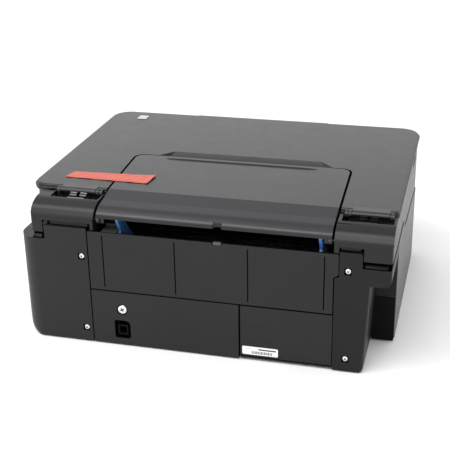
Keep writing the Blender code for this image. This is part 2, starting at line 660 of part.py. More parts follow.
def scanner_lid():
    outline = [(-SIDE, LID_FRONT, 26.0), (SIDE, LID_FRONT, 26.0), (SIDE, LID_REAR, 20.0),
               (-SIDE, LID_REAR, 8.0)]
    lid = prism("scanner_lid", outline, LID_BOTTOM, LID_TOP, "Z", LID)
    lip = block("lid_lip", (-92.0, -REAR, 169.0), (98.0, LID_FRONT + 2.0, 174.5))
    recess = prism("support_recess", support_outline(SUPPORT_GAP, 1.0, 13.0), SUPPORT_FLOOR, 190.0, "Z")
    scoop = tapered_block("finger_scoop", (-125.0, -17.0, SUPPORT_FLOOR), (98.0, 2.0, 180.0), 14.0,
                          LID_TOP - SUPPORT_FLOOR)
    pad_seat = block("pad_seat", (-152.0, -127.0, 160.0), (152.0, 92.0, LID_BOTTOM + 2.2))
    y, z = LID_AXIS
    hinge_rooms = [
        rod(f"hinge_room_{side}", ((a + b) / 2, y, z), 3.8, b - a + 1.2, "X", sides=16)
        for side, (a, b) in HINGE_X.items()
    ]
    uprights = [
        block(f"upright_room_{side}", (a - 0.6, LID_REAR - 4.0, 150.0), (b + 0.6, LID_REAR + 9.0, z + 2.0))
        for side, (a, b) in HINGE_X.items()
    ]
    fuse(lid, lip)
    cut(lid, recess, scoop, pad_seat, *hinge_rooms, *uprights)
    pad = block("lid_pad", (-151.5, -126.5, SCANNER_TOP + 0.4), (151.5, 91.5, LID_BOTTOM + 1.9), WHITE)
    badge = prism(
        "lid_badge", [(161.0, -155.0, 3.0), (176.0, -155.0, 3.0), (176.0, -137.0, 3.0), (161.0, -137.0, 3.0)],
        LID_TOP + 0.3, LID_TOP + 0.8, "Z", BADGE,
    )
    return [lid, pad, badge]


# ---------------------------------------------------------------- paper support
def paper_support():
    """Flat flap whose rear end steps down to a rounded barrel, with an ear at each end."""
    thick = LID_TOP - SUPPORT_FLOOR - 0.3
    upper = [(2.5, LID_TOP), (REAR - 51.0, LID_TOP), (REAR - 30.0, 171.2), (REAR - 14.5, 168.7, 20.0),
             (REAR - 6.0, 163.0, 12.0), (REAR - 3.6, 158.4)]
    lower = [(REAR - 6.4, 158.4), (REAR - 8.6, 162.0), (REAR - 16.6, 166.0),
             (REAR - 30.0, 171.2 - thick), (REAR - 46.0, LID_TOP - thick), (2.5, LID_TOP - thick)]
    flap = prism("paper_support", upper + lower, -170.0, 140.0, "X", LID)
    combine(flap, "INTERSECT", [prism("flap_outline", support_outline(0.0, 2.5, 12.0), 150.0, 190.0, "Z")])
    y, z = SUPPORT_AXIS
    ears = []
    for n, (x0, x1) in enumerate(EAR_X):
        outline = [(y - 5.0, z - 5.0, 4.8), (y + 4.4, z - 5.0, 4.4), (y + 4.4, z + 4.0),
                   (y + 1.4, z + 8.0), (y - 8.0, z + 11.5)]
        ears.append(prism(f"support_ear_{n}", outline, x0, x1, "X"))
    fuse(flap, *ears)
    pin_hole = rod("support_pin_hole", (0.0, y, z), 1.9, 400.0, "X", sides=16)
    groove = block("flap_groove", (-107.0, 10.5, LID_TOP - 0.8), (84.0, 14.5, LID_TOP + 5.0))
    cut(flap, pin_hole, groove)
    pins = [
        support_pin("support_pin_right", (109.0, 112.9), (111.0, 125.5)),
        support_pin("support_pin_left", (-144.9, -141.0), (-158.5, -143.0)),
    ]
    return [flap, *pins]


def support_pin(name, arm_x, pin_x):
    """Pivot pin with the steel arm that lifts the support when the lid opens under it."""
    y, z = SUPPORT_AXIS
    outline = [(y + 2.2, z - 4.5, 2.0), (y + 2.2, z + 2.4), (y - 1.0, z + 6.0), (y - 8.0, z + 9.2),
               (y - 30.0, z + 11.5, 3.0), (y - 30.0, z + 4.0, 3.0), (y - 6.0, z - 4.5)]
    arm = prism(name, outline, *arm_x, "X", STEEL)
    pin = rod(name + "_shaft", (sum(pin_x) / 2, y, z), 1.5, pin_x[1] - pin_x[0], "X", sides=12)
    return fuse(arm, pin)


def packing_tape():
    """Strip stuck to the flap across its right-hand gap."""
    low = LID_TOP + 0.3
    corners = [(79.0, 74.0), (178.0, 80.0), (183.0, 99.0), (79.0, 101.0)]
    return prism("packing_tape", corners, low, low + 0.4, "Z", TAPE)


# ---------------------------------------------------------------- assembly
def main():
    clear_scene()
    base_tray()
    right, left = right_cover(), left_rear_cover()
    left_side_cover()
    _, lower, _ = rear_panels()
    screw_pockets([right, right, left, left], lower)
    serial_label()
    front_bezel()
    tray = output_tray()
    feet()
    screws()
    electronics()
    paper_ramp()
    guides = edge_guides()
    rollers()
    print_mechanism()
    carried = carriage_set()
    housing = scanner_housing()
    unit = [*housing[:4], *shoulders(), *lid_hinges(), *control_panel()]
    lid = scanner_lid()
    support = paper_support()
    tape = packing_tape()

    lift = hang_on("scanner_lift_axis", (0.0, *LIFT_AXIS), [*unit, housing[4]])
    lid_axis = hang_on("lid_axis", (0.0, *LID_AXIS), lid)
    support_axis = hang_on("support_axis", (0.0, *SUPPORT_AXIS), [*support, tape])
    for axis in (lid_axis, support_axis):
        axis.parent = lift
        axis.matrix_parent_inverse = lift.matrix_world.inverted()
    hang_on("tray_axis", (0.0, *TRAY_AXIS), [tray])
    hang_on("edge_guide_origin", (0.0, *RAMP_TOP), guides)
    hang_on("carriage_origin", (CARRIAGE_X[0], REAR - 118.0, 50.0), carried)


main()
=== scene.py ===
import math

import bmesh
import bpy
from mathutils import Matrix, Vector


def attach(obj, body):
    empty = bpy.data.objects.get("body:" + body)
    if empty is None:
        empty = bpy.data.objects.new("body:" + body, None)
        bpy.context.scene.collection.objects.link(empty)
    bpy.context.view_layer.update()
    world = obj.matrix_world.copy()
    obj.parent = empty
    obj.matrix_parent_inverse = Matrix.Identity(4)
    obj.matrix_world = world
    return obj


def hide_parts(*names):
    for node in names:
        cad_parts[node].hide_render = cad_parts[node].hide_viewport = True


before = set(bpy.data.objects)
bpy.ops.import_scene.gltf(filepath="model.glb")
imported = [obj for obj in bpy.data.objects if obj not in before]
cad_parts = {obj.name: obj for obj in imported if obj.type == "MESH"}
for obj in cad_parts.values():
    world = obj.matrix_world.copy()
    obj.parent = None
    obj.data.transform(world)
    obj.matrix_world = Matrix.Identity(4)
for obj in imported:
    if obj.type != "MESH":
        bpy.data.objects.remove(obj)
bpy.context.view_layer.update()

MM = 0.001

# Stations repeated from the CAD, in millimetres. The printer's right is +x and its front is -y.
SIDE = 215.0
REAR = 175.0
FRONT = -169.0
WALL = 2.5
LID_TOP = 176.0
LEDGE_Z = 129.0
BAY_Y = 97.5
LID_AXIS = (129.0, 171.5)
SUPPORT_AXIS = (166.0, 155.0)
SUPPORT_GAP = 2.8
SUPPORT_FLOOR = 171.8
HINGES = ((123.2, 179.2), (-211.0, -157.0))
SCREWS = {"cover_screw_1": (136.5, 111.0), "cover_screw_2": (136.5, 18.8),
          "cover_screw_3": (-168.4, 124.0), "cover_screw_4": (-168.4, 16.6)}
LARGE_SCREW = (91.0, 47.2)
KEYS = {"power_button": -104.0, "cancel_button": 52.0, "scan_button": 76.0, "copy_button": 100.0}
KEY_Z = 135.0
PIN_BORE = 1.9
# Where a cut into the rear or the front ends, clear of the face.
BEHIND = REAR + 5.0
BEFORE = FRONT - 5.0


# ---- mesh helpers
def add(name, mesh):
    obj = bpy.data.objects.new(name, mesh)
    bpy.context.scene.collection.objects.link(obj)
    return obj


def add_bmesh(name, bm, finishes=()):
    mesh = bpy.data.meshes.new(name)
    bm.to_mesh(mesh)
    bm.free()
    for finish in finishes:
        mesh.materials.append(finish)
    return add(name, mesh)


def from_rings(name, rings):
    """A skin over rings of equal count, capped at both ends."""
    bm = bmesh.new()
    loops = [[bm.verts.new(Vector(p) * MM) for p in ring] for ring in rings]
    for low, high in zip(loops, loops[1:]):
        count = len(low)
        for i in range(count):
            bm.faces.new((low[i], low[(i + 1) % count], high[(i + 1) % count], high[i]))
    bm.faces.new(loops[0][::-1])
    bm.faces.new(loops[-1])
    bmesh.ops.recalc_face_normals(bm, faces=bm.faces)
    return add_bmesh(name, bm)


def outline(corners, step=7.5):
    """Points of a closed outline; each corner is (u, v) or (u, v, radius)."""
    points = []
    count = len(corners)
    for i, corner in enumerate(corners):
        here = Vector(corner[:2])
        radius = corner[2] if len(corner) > 2 else 0.0
        if not radius:
            points.append(here)
            continue
        before = (Vector(corners[i - 1][:2]) - here).normalized()
        after = (Vector(corners[(i + 1) % count][:2]) - here).normalized()
        half = before.angle(after) / 2
        reach = radius / math.tan(half)
        centre = here + (before + after).normalized() * radius / math.sin(half)
        start = here + before * reach - centre
        turn = start.angle_signed(here + after * reach - centre)
        pieces = max(1, round(abs(math.degrees(turn)) / step))
        for n in range(pieces + 1):
            points.append(centre + Matrix.Rotation(-turn * n / pieces, 2) @ start)
    return points


def rectangle(u0, u1, v0, v1, radii=0.0):
    """Four corners for outline(), from (u0, v0) by way of (u1, v0); one radius or one each."""
    if not isinstance(radii, tuple):
        radii = (radii,) * 4
    return [(u0, v0, radii[0]), (u1, v0, radii[1]), (u1, v1, radii[2]), (u0, v1, radii[3])]


def along_axis(axis, u, v, t):
    return {"X": (t, u, v), "Y": (u, t, v), "Z": (u, v, t)}[axis]


def prism(name, corners, low, high, axis, step=7.5):
    points = outline(corners, step)
    ends = [[along_axis(axis, p.x, p.y, t) for p in points] for t in (low, high)]
    return from_rings(name, ends)


def box(name, low, high):
    return prism(name, rectangle(low[0], high[0], low[1], high[1]), low[2], high[2], "Z")


def facing(name, sides, radii, y0, y1, finish):
    """Painted plate from y0 to y1 whose outline is the rectangle (x0, x1, z0, z1)."""
    return paint(prism(name, rectangle(*sides, radii), y0, y1, "Y"), finish)


def slab(name, corners_at, levels, step=7.5):
    """Outline that changes with height: corners_at(inset) at each (inset, z)."""
    rings = []
    for inset, z in levels:
        rings.append([(p.x, p.y, z) for p in outline(corners_at(inset), step)])
    return from_rings(name, rings)


def tube(name, centre, radius, length, axis, sides=32):
    ends = [(radius, -length / 2), (radius, length / 2)]
    return lathe(name, centre, ends, axis, sides)


def lathe(name, centre, profile, axis, sides=40):
    """Rings of (radius, height) about an axis through the centre, capped at both ends."""
    rings = []
    for radius, height in profile:
        ring = []
        for n in range(sides):
            a = math.tau * n / sides
            p = along_axis(axis, radius * math.cos(a), radius * math.sin(a), height)
            ring.append([c + d for c, d in zip(centre, p)])
        rings.append(ring)
    return from_rings(name, rings)


def hull(name, points):
    bm = bmesh.new()
    for p in points:
        bm.verts.new(Vector(p) * MM)
    made = bmesh.ops.convex_hull(bm, input=bm.verts)
    spare = [g for g in made["geom_interior"] if g.is_valid]
    bmesh.ops.delete(bm, geom=spare, context="VERTS")
    bmesh.ops.recalc_face_normals(bm, faces=bm.faces)
    return add_bmesh(name, bm)


def turned(obj, degrees, x, y, z):
    """Turns a piece made round the origin about the y axis, then moves it to (x, y, z)."""
    turn = Matrix.Rotation(math.radians(degrees), 4, "Y")
    obj.data.transform(Matrix.Translation(Vector((x, y, z)) * MM) @ turn)
    return obj


def paint(obj, finish):
    obj.data.materials.clear()
    obj.data.materials.append(finish)
    return obj


def combine(obj, operation, tools):
    """Applies the tools to obj at once, and removes them. Their faces keep their own material."""
    for tool in tools:
        change = obj.modifiers.new("shape", "BOOLEAN")
        change.operation = operation
        change.solver = "EXACT"
        change.material_mode = "TRANSFER"
        change.object = tool
    return bake(obj, tools)


def bake(obj, tools=()):
    shaped = obj.evaluated_get(bpy.context.evaluated_depsgraph_get())
    mesh = bpy.data.meshes.new_from_object(shaped)
    obj.modifiers.clear()
    obj.data = mesh
    for tool in tools:
        bpy.data.objects.remove(tool, do_unlink=True)
    return obj


def cut(obj, *tools):
    return combine(obj, "DIFFERENCE", tools)


def fuse(obj, *tools):
    return combine(obj, "UNION", tools)


def within(obj, *tools):
    return combine(obj, "INTERSECT", tools)


def join(name, objects):
    """One mesh from several, keeping the first material of each."""
    bm = bmesh.new()
    slots = []
    for obj in objects:
        start = len(bm.faces)
        bm.from_mesh(obj.data)
        bm.faces.ensure_lookup_table()
        finish = obj.data.materials[0]
        if finish not in slots:
            slots.append(finish)
        for face in bm.faces[start:]:
            face.material_index = slots.index(finish)
        bpy.data.objects.remove(obj, do_unlink=True)
    return add_bmesh(name, bm, slots)


def round_edges(obj, width, angle):
    edge = obj.modifiers.new("edges", "BEVEL")
    edge.width = width * MM
    edge.segments = 2
    edge.limit_method = "ANGLE"
    edge.angle_limit = math.radians(angle)
    return edge


def soften(obj, width):
    """Small rounded edges, so that every edge takes a highlight."""
    obj.data.shade_smooth()
    obj.data.set_sharp_from_angle(angle=math.radians(16.0))
    round_edges(obj, width, 28).use_clamp_overlap = True
    even = obj.modifiers.new("normals", "WEIGHTED_NORMAL")
    even.keep_sharp = True
    even.weight = 80


def place(obj, body, slot, *nodes, edge):
    """Puts a finished piece on its body and in place of its CAD nodes; the slot argument is not
    used.
    """
    if edge:
        soften(obj, edge)
    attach(obj, body)
    if nodes:
        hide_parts(*nodes)


def recolour(obj, finish, wanted):
    """Gives a finish of their own to the faces for which wanted(centre in mm, normal) holds."""
    obj.data.materials.append(finish)
    slot = len(obj.data.materials) - 1
    for face in obj.data.polygons:
        if wanted(face.center / MM, face.normal):
            face.material_index = slot
    return obj


# ---- materials
def set_range(node, low, high, to_low, to_high):
    names = ("From Min", "From Max", "To Min", "To Max")
    for name, number in zip(names, (low, high, to_low, to_high)):
        node.inputs[name].default_value = number


class Graph:
    """Short names for building one material's nodes."""

    def __init__(self, name):
        self.material = bpy.data.materials.new(name)
        self.material.use_nodes = True
        self.nodes = self.material.node_tree.nodes
        self.links = self.material.node_tree.links
        self.shader = self.nodes["Principled BSDF"]
        self.place = self.nodes.new("ShaderNodeTexCoord").outputs["Object"]

    def mapped(self, setting, value):
        made = self.nodes.new("ShaderNodeMapping")
        made.inputs[setting].default_value = value
        self.links.new(self.place, made.inputs["Vector"])
        return made.outputs["Vector"]

    def noise(self, scale, detail=2.0, roughness=0.5, where=None):
        made = self.nodes.new("ShaderNodeTexNoise")
        made.inputs["Scale"].default_value = scale
        made.inputs["Detail"].default_value = detail
        made.inputs["Roughness"].default_value = roughness
        self.links.new(where or self.place, made.inputs["Vector"])
        return made.outputs["Fac"]

    def cells(self, scale, where=None):
        made = self.nodes.new("ShaderNodeTexVoronoi")
        made.inputs["Scale"].default_value = scale
        self.links.new(where or self.place, made.inputs["Vector"])
        return made.outputs["Distance"]

    def spread(self, value, low, high, to_low, to_high):
        made = self.nodes.new("ShaderNodeMapRange")
        set_range(made, low, high, to_low, to_high)
        self.links.new(value, made.inputs["Value"])
        return made.outputs["Result"]

    def blend(self, value, first, second):
        made = self.nodes.new("ShaderNodeMix")
        made.data_type = "RGBA"
        self.links.new(value, made.inputs["Factor"])
        for socket, colour in zip((made.inputs[6], made.inputs[7]), (first, second)):
            if isinstance(colour, tuple):
                socket.default_value = (*colour, 1.0)
            else:
                self.links.new(colour, socket)
        return made.outputs[2]

    def bump(self, height, distance, strength, onto=None):
        made = self.nodes.new("ShaderNodeBump")
        made.inputs["Distance"].default_value = distance
        made.inputs["Strength"].default_value = strength
        self.links.new(height, made.inputs["Height"])
        if onto is not None:
            self.links.new(onto, made.inputs["Normal"])
        return made.outputs["Normal"]

    def set(self, name, value):
        socket = self.shader.inputs[name]
        if isinstance(value, (int, float)):
            socket.default_value = value
        else:
            self.links.new(value, socket)


def shade(colour, factor):
    return tuple(c * factor for c in colour)


def moulded(name, colour, rough, grain=1500.0, depth=10, mottle=0.12, dust=0.0, sheen=0.5):
    """Moulded plastic: fine grain (depth in micrometres), mottling, uneven gloss, a little dust."""
    g = Graph(name)
    clouds = g.spread(g.noise(11.0, 4.0), 0.3, 0.7, 0.0, 1.0)
    soft = g.blend(clouds, shade(colour, 1 - mottle), shade(colour, 1 + mottle))
    if dust:
        specks = g.spread(g.cells(210.0), 0.045, 0.03, 0.0, dust)
        soft = g.blend(specks, soft, (0.16, 0.155, 0.15))
    g.set("Base Color", soft)
    uneven = g.spread(g.noise(46.0, 5.0, 0.6), 0.25, 0.75, rough * 0.9, rough * 1.12)
    g.set("Roughness", uneven)
    g.set("IOR", 1.46)
    g.set("Specular IOR Level", sheen)
    fine = g.bump(g.noise(grain, 2.0, 0.6), depth / 1e6, 0.8)
    g.set("Normal", g.bump(g.noise(28.0, 3.0), 0.00012, 0.25, fine))
    return g.material


def metal(name, colour, rough, streak=(40.0, 900.0, 900.0)):
    g = Graph(name)
    lines = g.noise(1.0, 3.0, 0.6, g.mapped("Scale", streak))
    g.set("Base Color", g.blend(g.spread(lines, 0.3, 0.7, 0.0, 1.0), shade(colour, 0.86), colour))
    g.set("Metallic", 1.0)
    g.set("Roughness", g.spread(lines, 0.2, 0.8, rough * 0.75, rough * 1.3))
    g.set("Normal", g.bump(lines, 0.00001, 0.5))
    return g.material


def tape_film():
    """Orange-red film with a fine cross-hatched emboss."""
    g = Graph("tape_film")
    wave = g.nodes.new("ShaderNodeTexWave")
    wave.inputs["Scale"].default_value = 190.0
    wave.inputs["Distortion"].default_value = 1.2
    g.links.new(g.mapped("Rotation", (0.0, 0.0, 0.78)), wave.inputs["Vector"])
    hatch = wave.outputs["Fac"]
    tone = g.blend(g.spread(hatch, 0.0, 1.0, 0.0, 0.35), (0.50, 0.076, 0.043), (0.53, 0.120, 0.074))
    clouds = g.spread(g.noise(60.0, 4.0), 0.35, 0.7, 0.0, 0.5)
    g.set("Base Color", g.blend(clouds, tone, (0.51, 0.092, 0.054)))
    g.set("Roughness", g.spread(g.noise(120.0, 3.0), 0.3, 0.7, 0.38, 0.55))
    g.set("Normal", g.bump(hatch, 0.00004, 0.35))
    return g.material


def circuit_board():
    g = Graph("circuit_board")
    tracks = g.spread(g.cells(420.0, g.mapped("Scale", (1.0, 1.0, 0.4))), 0.12, 0.2, 0.0, 1.0)
    # Green board darkened with painted shade, as it sits in the dark behind the port.
    g.set("Base Color", g.blend(tracks, (0.012, 0.055, 0.022), (0.002, 0.018, 0.007)))
    g.set("Roughness", 0.35)
    return g.material


def foam_sheet():
    g = Graph("foam_sheet")
    clouds = g.spread(g.noise(160.0, 5.0), 0.3, 0.7, 0.0, 1.0)
    g.set("Base Color", g.blend(clouds, (0.70, 0.70, 0.68), (0.82, 0.82, 0.80)))
    g.set("Roughness", 0.85)
    g.set("Normal", g.bump(g.cells(900.0), 0.0001, 0.5))
    return g.material


def clear_glass():
    g = Graph("scanner_glass_clear")
    g.set("Base Color", g.blend(g.noise(6.0), (0.80, 0.87, 0.85), (0.84, 0.90, 0.88)))
    g.set("Roughness", g.spread(g.noise(90.0, 4.0), 0.3, 0.7, 0.02, 0.05))
    g.set("Alpha", 0.35)
    return g.material


# Linear colour, roughness, the grain's scale and depth, then mottle, dust and sheen.
LID = moulded("lid_satin", (0.0160, 0.0160, 0.0158), 0.30, 2400.0, 4, 0.10, 0.25, 0.36)
# Purplish lid plastic with painted shade and reflection tint, for sloping rear faces, hinge covers
# and rings.
FACET_SHADE = moulded("facet_painted_shade", (0.0180, 0.0170, 0.0210), 0.34, 1500.0, 12, 0.10, 0.25)
CASE = moulded("case_grain", (0.0074, 0.0074, 0.0076), 0.42, 1500.0, 12, 0.14, 0.25, 0.36)
# Lid plastic painted darker and purplish as shade, for the finger scoop.
SCOOP_SHADE = moulded("scoop_painted_shade", (0.0050, 0.0047, 0.0062), 0.40, 1500.0, 12, 0.10, 0.2, 0.33)
# Case plastic painted darker as shade, for the post cover on the printer's left.
POST_SHADE = moulded("post_painted_shade", (0.0052, 0.0052, 0.0054), 0.42, 1500.0, 12, 0.14, 0.25, 0.28)
ROUND = moulded("shoulder_grain", (0.0080, 0.0077, 0.0092), 0.38, 1700.0, 10, 0.10, 0.2, 0.42)
SIDE_GRAIN = moulded("side_grain", (0.024, 0.024, 0.0255), 0.38, 1500.0, 12, 0.12, 0.2)
INNER = moulded("inner_plastic", (0.005, 0.005, 0.0055), 0.5, 1100.0, 20, 0.2, 0.0, 0.3)
# Near-black and matt: painted shade for gaps, seams, recesses, holes and the dark inside.
SHADE_BLACK = moulded("painted_shade_black", (0.0012, 0.0012, 0.0013), 0.9, 900.0, 20, 0.2, 0.0, 0.02)
# Painted shade for the lower wall of the bay and the inside of the data port.
HOLLOW_SHADE = moulded("hollow_painted_shade", (0.0022, 0.0022, 0.0023), 0.6, 900.0, 20, 0.2, 0.0, 0.12)
SHADE = moulded("slot_grey", (0.010, 0.010, 0.0105), 0.5, 1100.0, 20, 0.2, 0.0, 0.25)
# Light grey: painted highlight for the right hinge's rib bars.
RIB_HIGHLIGHT = moulded("rib_painted_highlight", (0.30, 0.30, 0.30), 0.36, 1500.0, 10, 0.15)
RIB = moulded("rib_plastic", (0.060, 0.060, 0.060), 0.36, 1500.0, 10, 0.15)
BLUE = moulded("guide_blue", (0.070, 0.195, 0.47), 0.30, 1300.0, 12, 0.12)
GLOSS = moulded("piano_black", (0.006, 0.006, 0.0065), 0.09, 2500.0, 1, 0.1)
RUBBER = moulded("soft_rubber", (0.012, 0.012, 0.012), 0.75, 700.0, 40, 0.25)
PAPER = moulded("label_paper", (0.80, 0.80, 0.79), 0.5, 800.0, 10, 0.03)
INK = moulded("label_bars", (0.03, 0.03, 0.03), 0.55, 800.0, 10, 0.2)
MARK = moulded("badge_grey", (0.50, 0.50, 0.50), 0.35, 1500.0, 10, 0.08)
MARK_DARK = moulded("badge_centre", (0.03, 0.03, 0.03), 0.4, 1500.0, 10, 0.08)
ICON = moulded("icon_print", (0.62, 0.63, 0.64), 0.45, 1500.0, 10, 0.05)
SCREEN = moulded("screen_grey", (0.02, 0.024, 0.026), 0.12, 2500.0, 1)
ZINC = metal("screw_zinc", (0.86, 0.85, 0.83), 0.24, (600.0, 600.0, 600.0))
STEEL = metal("rod_steel", (0.62, 0.62, 0.63), 0.28)
DARK_STEEL = metal("blackened_steel", (0.05, 0.05, 0.052), 0.45)
TAPE = tape_film()
BOARD = circuit_board()
FOAM = foam_sheet()
GLASS = clear_glass()


# ---- lid
def support_corners(grow, front, radius):
    """Plan of the paper support; with grow, of the recess round it."""
    return [
        (-145.5 - grow, front, radius), (124.2 + grow, front, radius), (117.5 + grow, 122.0),
        (117.5 + grow, 200.0), (-149.5 - grow, 200.0), (-149.5 - grow, 122.0),
    ]


def lid_corners(inset):
    far, back = SIDE + 1.0 - inset, 127.0 - inset
    front_radius = 26.0 - inset
    radii = (front_radius, front_radius, 20.0 - inset, 8.0 - inset)
    return rectangle(-far, far, -175.0 + inset, back, radii)


def lip_corners(inset):
    return rectangle(-92.0 + inset, 98.0 - inset, -178.0 + inset, -167.0, (3.5, 3.5, 0.0, 0.0))


def hinge_cover(name, x0, x1):
    """Half barrel on the lid's rear edge, over the hinge."""
    y, z = LID_AXIS
    radius = 5.0
    arc = [(y + radius * math.cos(math.radians(a)), z + radius * math.sin(math.radians(a)))
           for a in range(22, 98, 6)]
    corners = [*arc, (y - 11.0, z + 4.75), (y - 12.5, z + 4.2), (y - 12.5, z + 1.0),
               (y + 1.0, z + 1.0)]
    return prism(name, corners, x0, x1, "X")


def hinge_parts(x0, x1):
    """Stations of a hinge's cover and of its rings: two rings inboard, one outboard."""
    if x0 > 0:
        return (x0 + 8.2, x1 - 5.2), ((x0, x0 + 3.4), (x0 + 4.2, x0 + 7.6), (x1 - 4.6, x1))
    return (x0 + 5.2, x1 - 8.2), ((x1 - 3.4, x1), (x1 - 7.6, x1 - 4.2), (x0, x0 + 4.6))


def scanner_lid():
    """Thin shell with a stepped rim, a front lip and the hinge covers with their rings."""
    levels = [(2.2, 167.2), (0.9, 167.9), (0.35, 169.4), (0.3, 170.0), (0.95, 170.3),
              (0.95, 170.7), (0.0, 171.0), (0.0, 172.6), (0.5, 173.1), (1.9, 173.2), (1.95, 173.6),
              (2.1, 174.8), (2.7, 175.5), (3.8, 175.9), (5.0, 176.0)]
    lid = paint(slab("lid_shell", lid_corners, levels, 6.0), LID)
    lip_levels = [(1.0, 168.8), (0.2, 169.6), (0.0, 171.0), (0.0, 173.2), (0.5, 174.2),
                  (1.5, 174.8)]
    fuse(lid, paint(slab("lid_lip", lip_corners, lip_levels), LID))
    recess = prism("recess", support_corners(SUPPORT_GAP, 1.0, 13.0), SUPPORT_FLOOR, 190.0, "Z")
    foot = [(x, 2.2, SUPPORT_FLOOR) for x in (-114, 86)]
    rim = [(-107, -17.0), (81, -17.0), (98, 2.2), (-125, 2.2)]
    scoop = hull("scoop", foot + [(x, y, z) for x, y in rim for z in (LID_TOP, 182.0)])
    pad_seat = box("pad_seat", (-152.0, -127.0, 160.0), (152.0, 92.0, 169.4))
    # The recess round the support is painted black as shade; the scoop takes the scoop shade.
    tools = [paint(recess, SHADE_BLACK), paint(scoop, SCOOP_SHADE), paint(pad_seat, CASE)]
    upright = 5.4
    for n, (x0, x1) in enumerate(HINGES):
        low, high = (x0 + upright, 123.0, 150.0), (x1 - upright, 136.0, 173.5)
        tools.append(paint(box(f"upright_room_{n}", low, high), INNER))
    cut(lid, *tools)
    covers = []
    for n, hinge in enumerate(HINGES):
        cover, rings = hinge_parts(*hinge)
        covers.append(paint(hinge_cover(f"hinge_cover_{n}", *cover), FACET_SHADE))
        for k, ((a, b), radius) in enumerate(zip(rings, (4.3, 4.6, 4.6))):
            ring = tube(f"end_ring_{n}_{k}", ((a + b) / 2, *LID_AXIS), radius, b - a, "X")
            covers.append(paint(ring, FACET_SHADE))
    fuse(lid, *covers)
    bores = []
    for n, (x0, x1) in enumerate(HINGES):
        middle = ((x0 + x1) / 2, *LID_AXIS)
        bores.append(paint(tube(f"bore_{n}", middle, 3.8, x1 - x0 + 2.0, "X"), INNER))
        low, high = (x0 + upright, 124.0, 160.0), (x1 - upright, 136.0, 171.4)
        bores.append(paint(box(f"cover_floor_{n}", low, high), INNER))
    cut(lid, *bores)
    place(lid, "lid", "lid_plastic", "scanner_lid", edge=0.4)


def lid_badge():
    """Blank square ring with a plain square in it."""
    ring = slab("badge_ring", lambda i: rectangle(162 + i, 175 - i, -154 + i, -139 - i, 2.0),
                [(0.0, 176.2), (0.0, 176.5), (0.3, 176.75)])
    seat = prism("badge_seat", rectangle(163.5, 173.5, -152.3, -140.5, 1.0), 176.55, 180, "Z")
    cut(paint(ring, MARK), paint(seat, MARK_DARK))
    bar = prism("badge_bar", rectangle(166.4, 170.6, -148.8, -144.0, 0.8), 176.5, 176.7, "Z")
    place(join("badge", [ring, paint(bar, MARK)]), "lid", "badge", "lid_badge", edge=0.12)


# ---- paper support
def paper_support():
    """Flap with its crease, rounded rear edge, finger groove, latch notch and pivot ears."""
    crease = 124.0
    corners = [
        (2.5, LID_TOP), (crease, LID_TOP, 3.0), (145.0, 171.2, 3.0), (160.5, 168.7, 20.0),
        (169.0, 163.0, 12.0), (171.4, 158.4), (168.6, 158.4), (166.4, 162.0, 6.0),
        (158.4, 166.0, 12.0), (145.0, 167.4), (129.0, 172.1), (2.5, 172.1),
    ]
    flap = paint(prism("support_flap", corners, -170.0, 140.0, "X", 6.0), LID)
    plan = prism("flap_edge", support_corners(0.0, 2.5, 12.0), 150.0, 190.0, "Z")
    within(flap, paint(plan, LID))
    pieces = []
    y, z = SUPPORT_AXIS
    ear = [(y - 5.0, z - 5.0, 4.8), (y + 4.4, z - 5.0, 4.4), (y + 4.4, 159.0), (y + 1.4, 163.2),
           (y - 8.0, 167.0)]
    boss = [(1.7, -1.5), (1.7, 0.5), (1.2, 0.9), (0.7, 0.9), (0.6, 0.3)]
    for n, (x0, x1) in enumerate(((113.5, 117.5), (-149.5, -145.5))):
        pieces.append(paint(prism(f"ear_{n}", ear, x0, x1, "X"), ROUND))
        centre = ((x0 + x1) / 2, y + 4.4, z + 1.8)
        pieces.append(paint(lathe(f"boss_{n}", centre, boss, "Y", 28), RIB))
    fuse(flap, *pieces)
    half = [(6.95, 78.0), (6.7, 86.0), (6.1, 93.0), (5.41, 97.0)]
    spindle = [(r, -x) for r, x in reversed(half)] + half
    groove = lathe("groove", (-11.5, 12.6, LID_TOP + 5.4), spindle, "X", 96)
    dip = [(165.6, 166.2), (168.2, 162.4), (170.0, 157.4), (176.0, 157.4), (176.0, 170.0),
           (167.4, 168.0)]
    notch = prism("latch_notch", dip, -28.6, -18.2, "X")
    bore = tube("pin_bore", (0.0, y, z), PIN_BORE, 400.0, "X", 24)
    hook_hole = box("hook_hole", (-27.8, 164.0, 155.0), (-20.0, 180.0, 160.0))
    # The hook hole is painted black as shade.
    cut(flap, paint(groove, LID), paint(notch, FACET_SHADE), paint(hook_hole, SHADE_BLACK), paint(bore, INNER))
    # Painted shade and reflection: faces behind the crease take the facet shade, steep rear faces
    # the darker case plastic, downturned faces black.
    recolour(flap, FACET_SHADE, lambda c, n: c.y > crease + 0.2 and c.z > 161.0 and n.z > -0.2)
    recolour(flap, CASE, lambda c, n: c.y > 162.0 and c.z > 158.6 and n.y > 0.5 and n.z < 0.62)
    recolour(flap, SHADE_BLACK, lambda c, n: c.y > 128.0 and n.z < -0.5)
    place(flap, "support", "lid_plastic", "paper_support", edge=0.35)


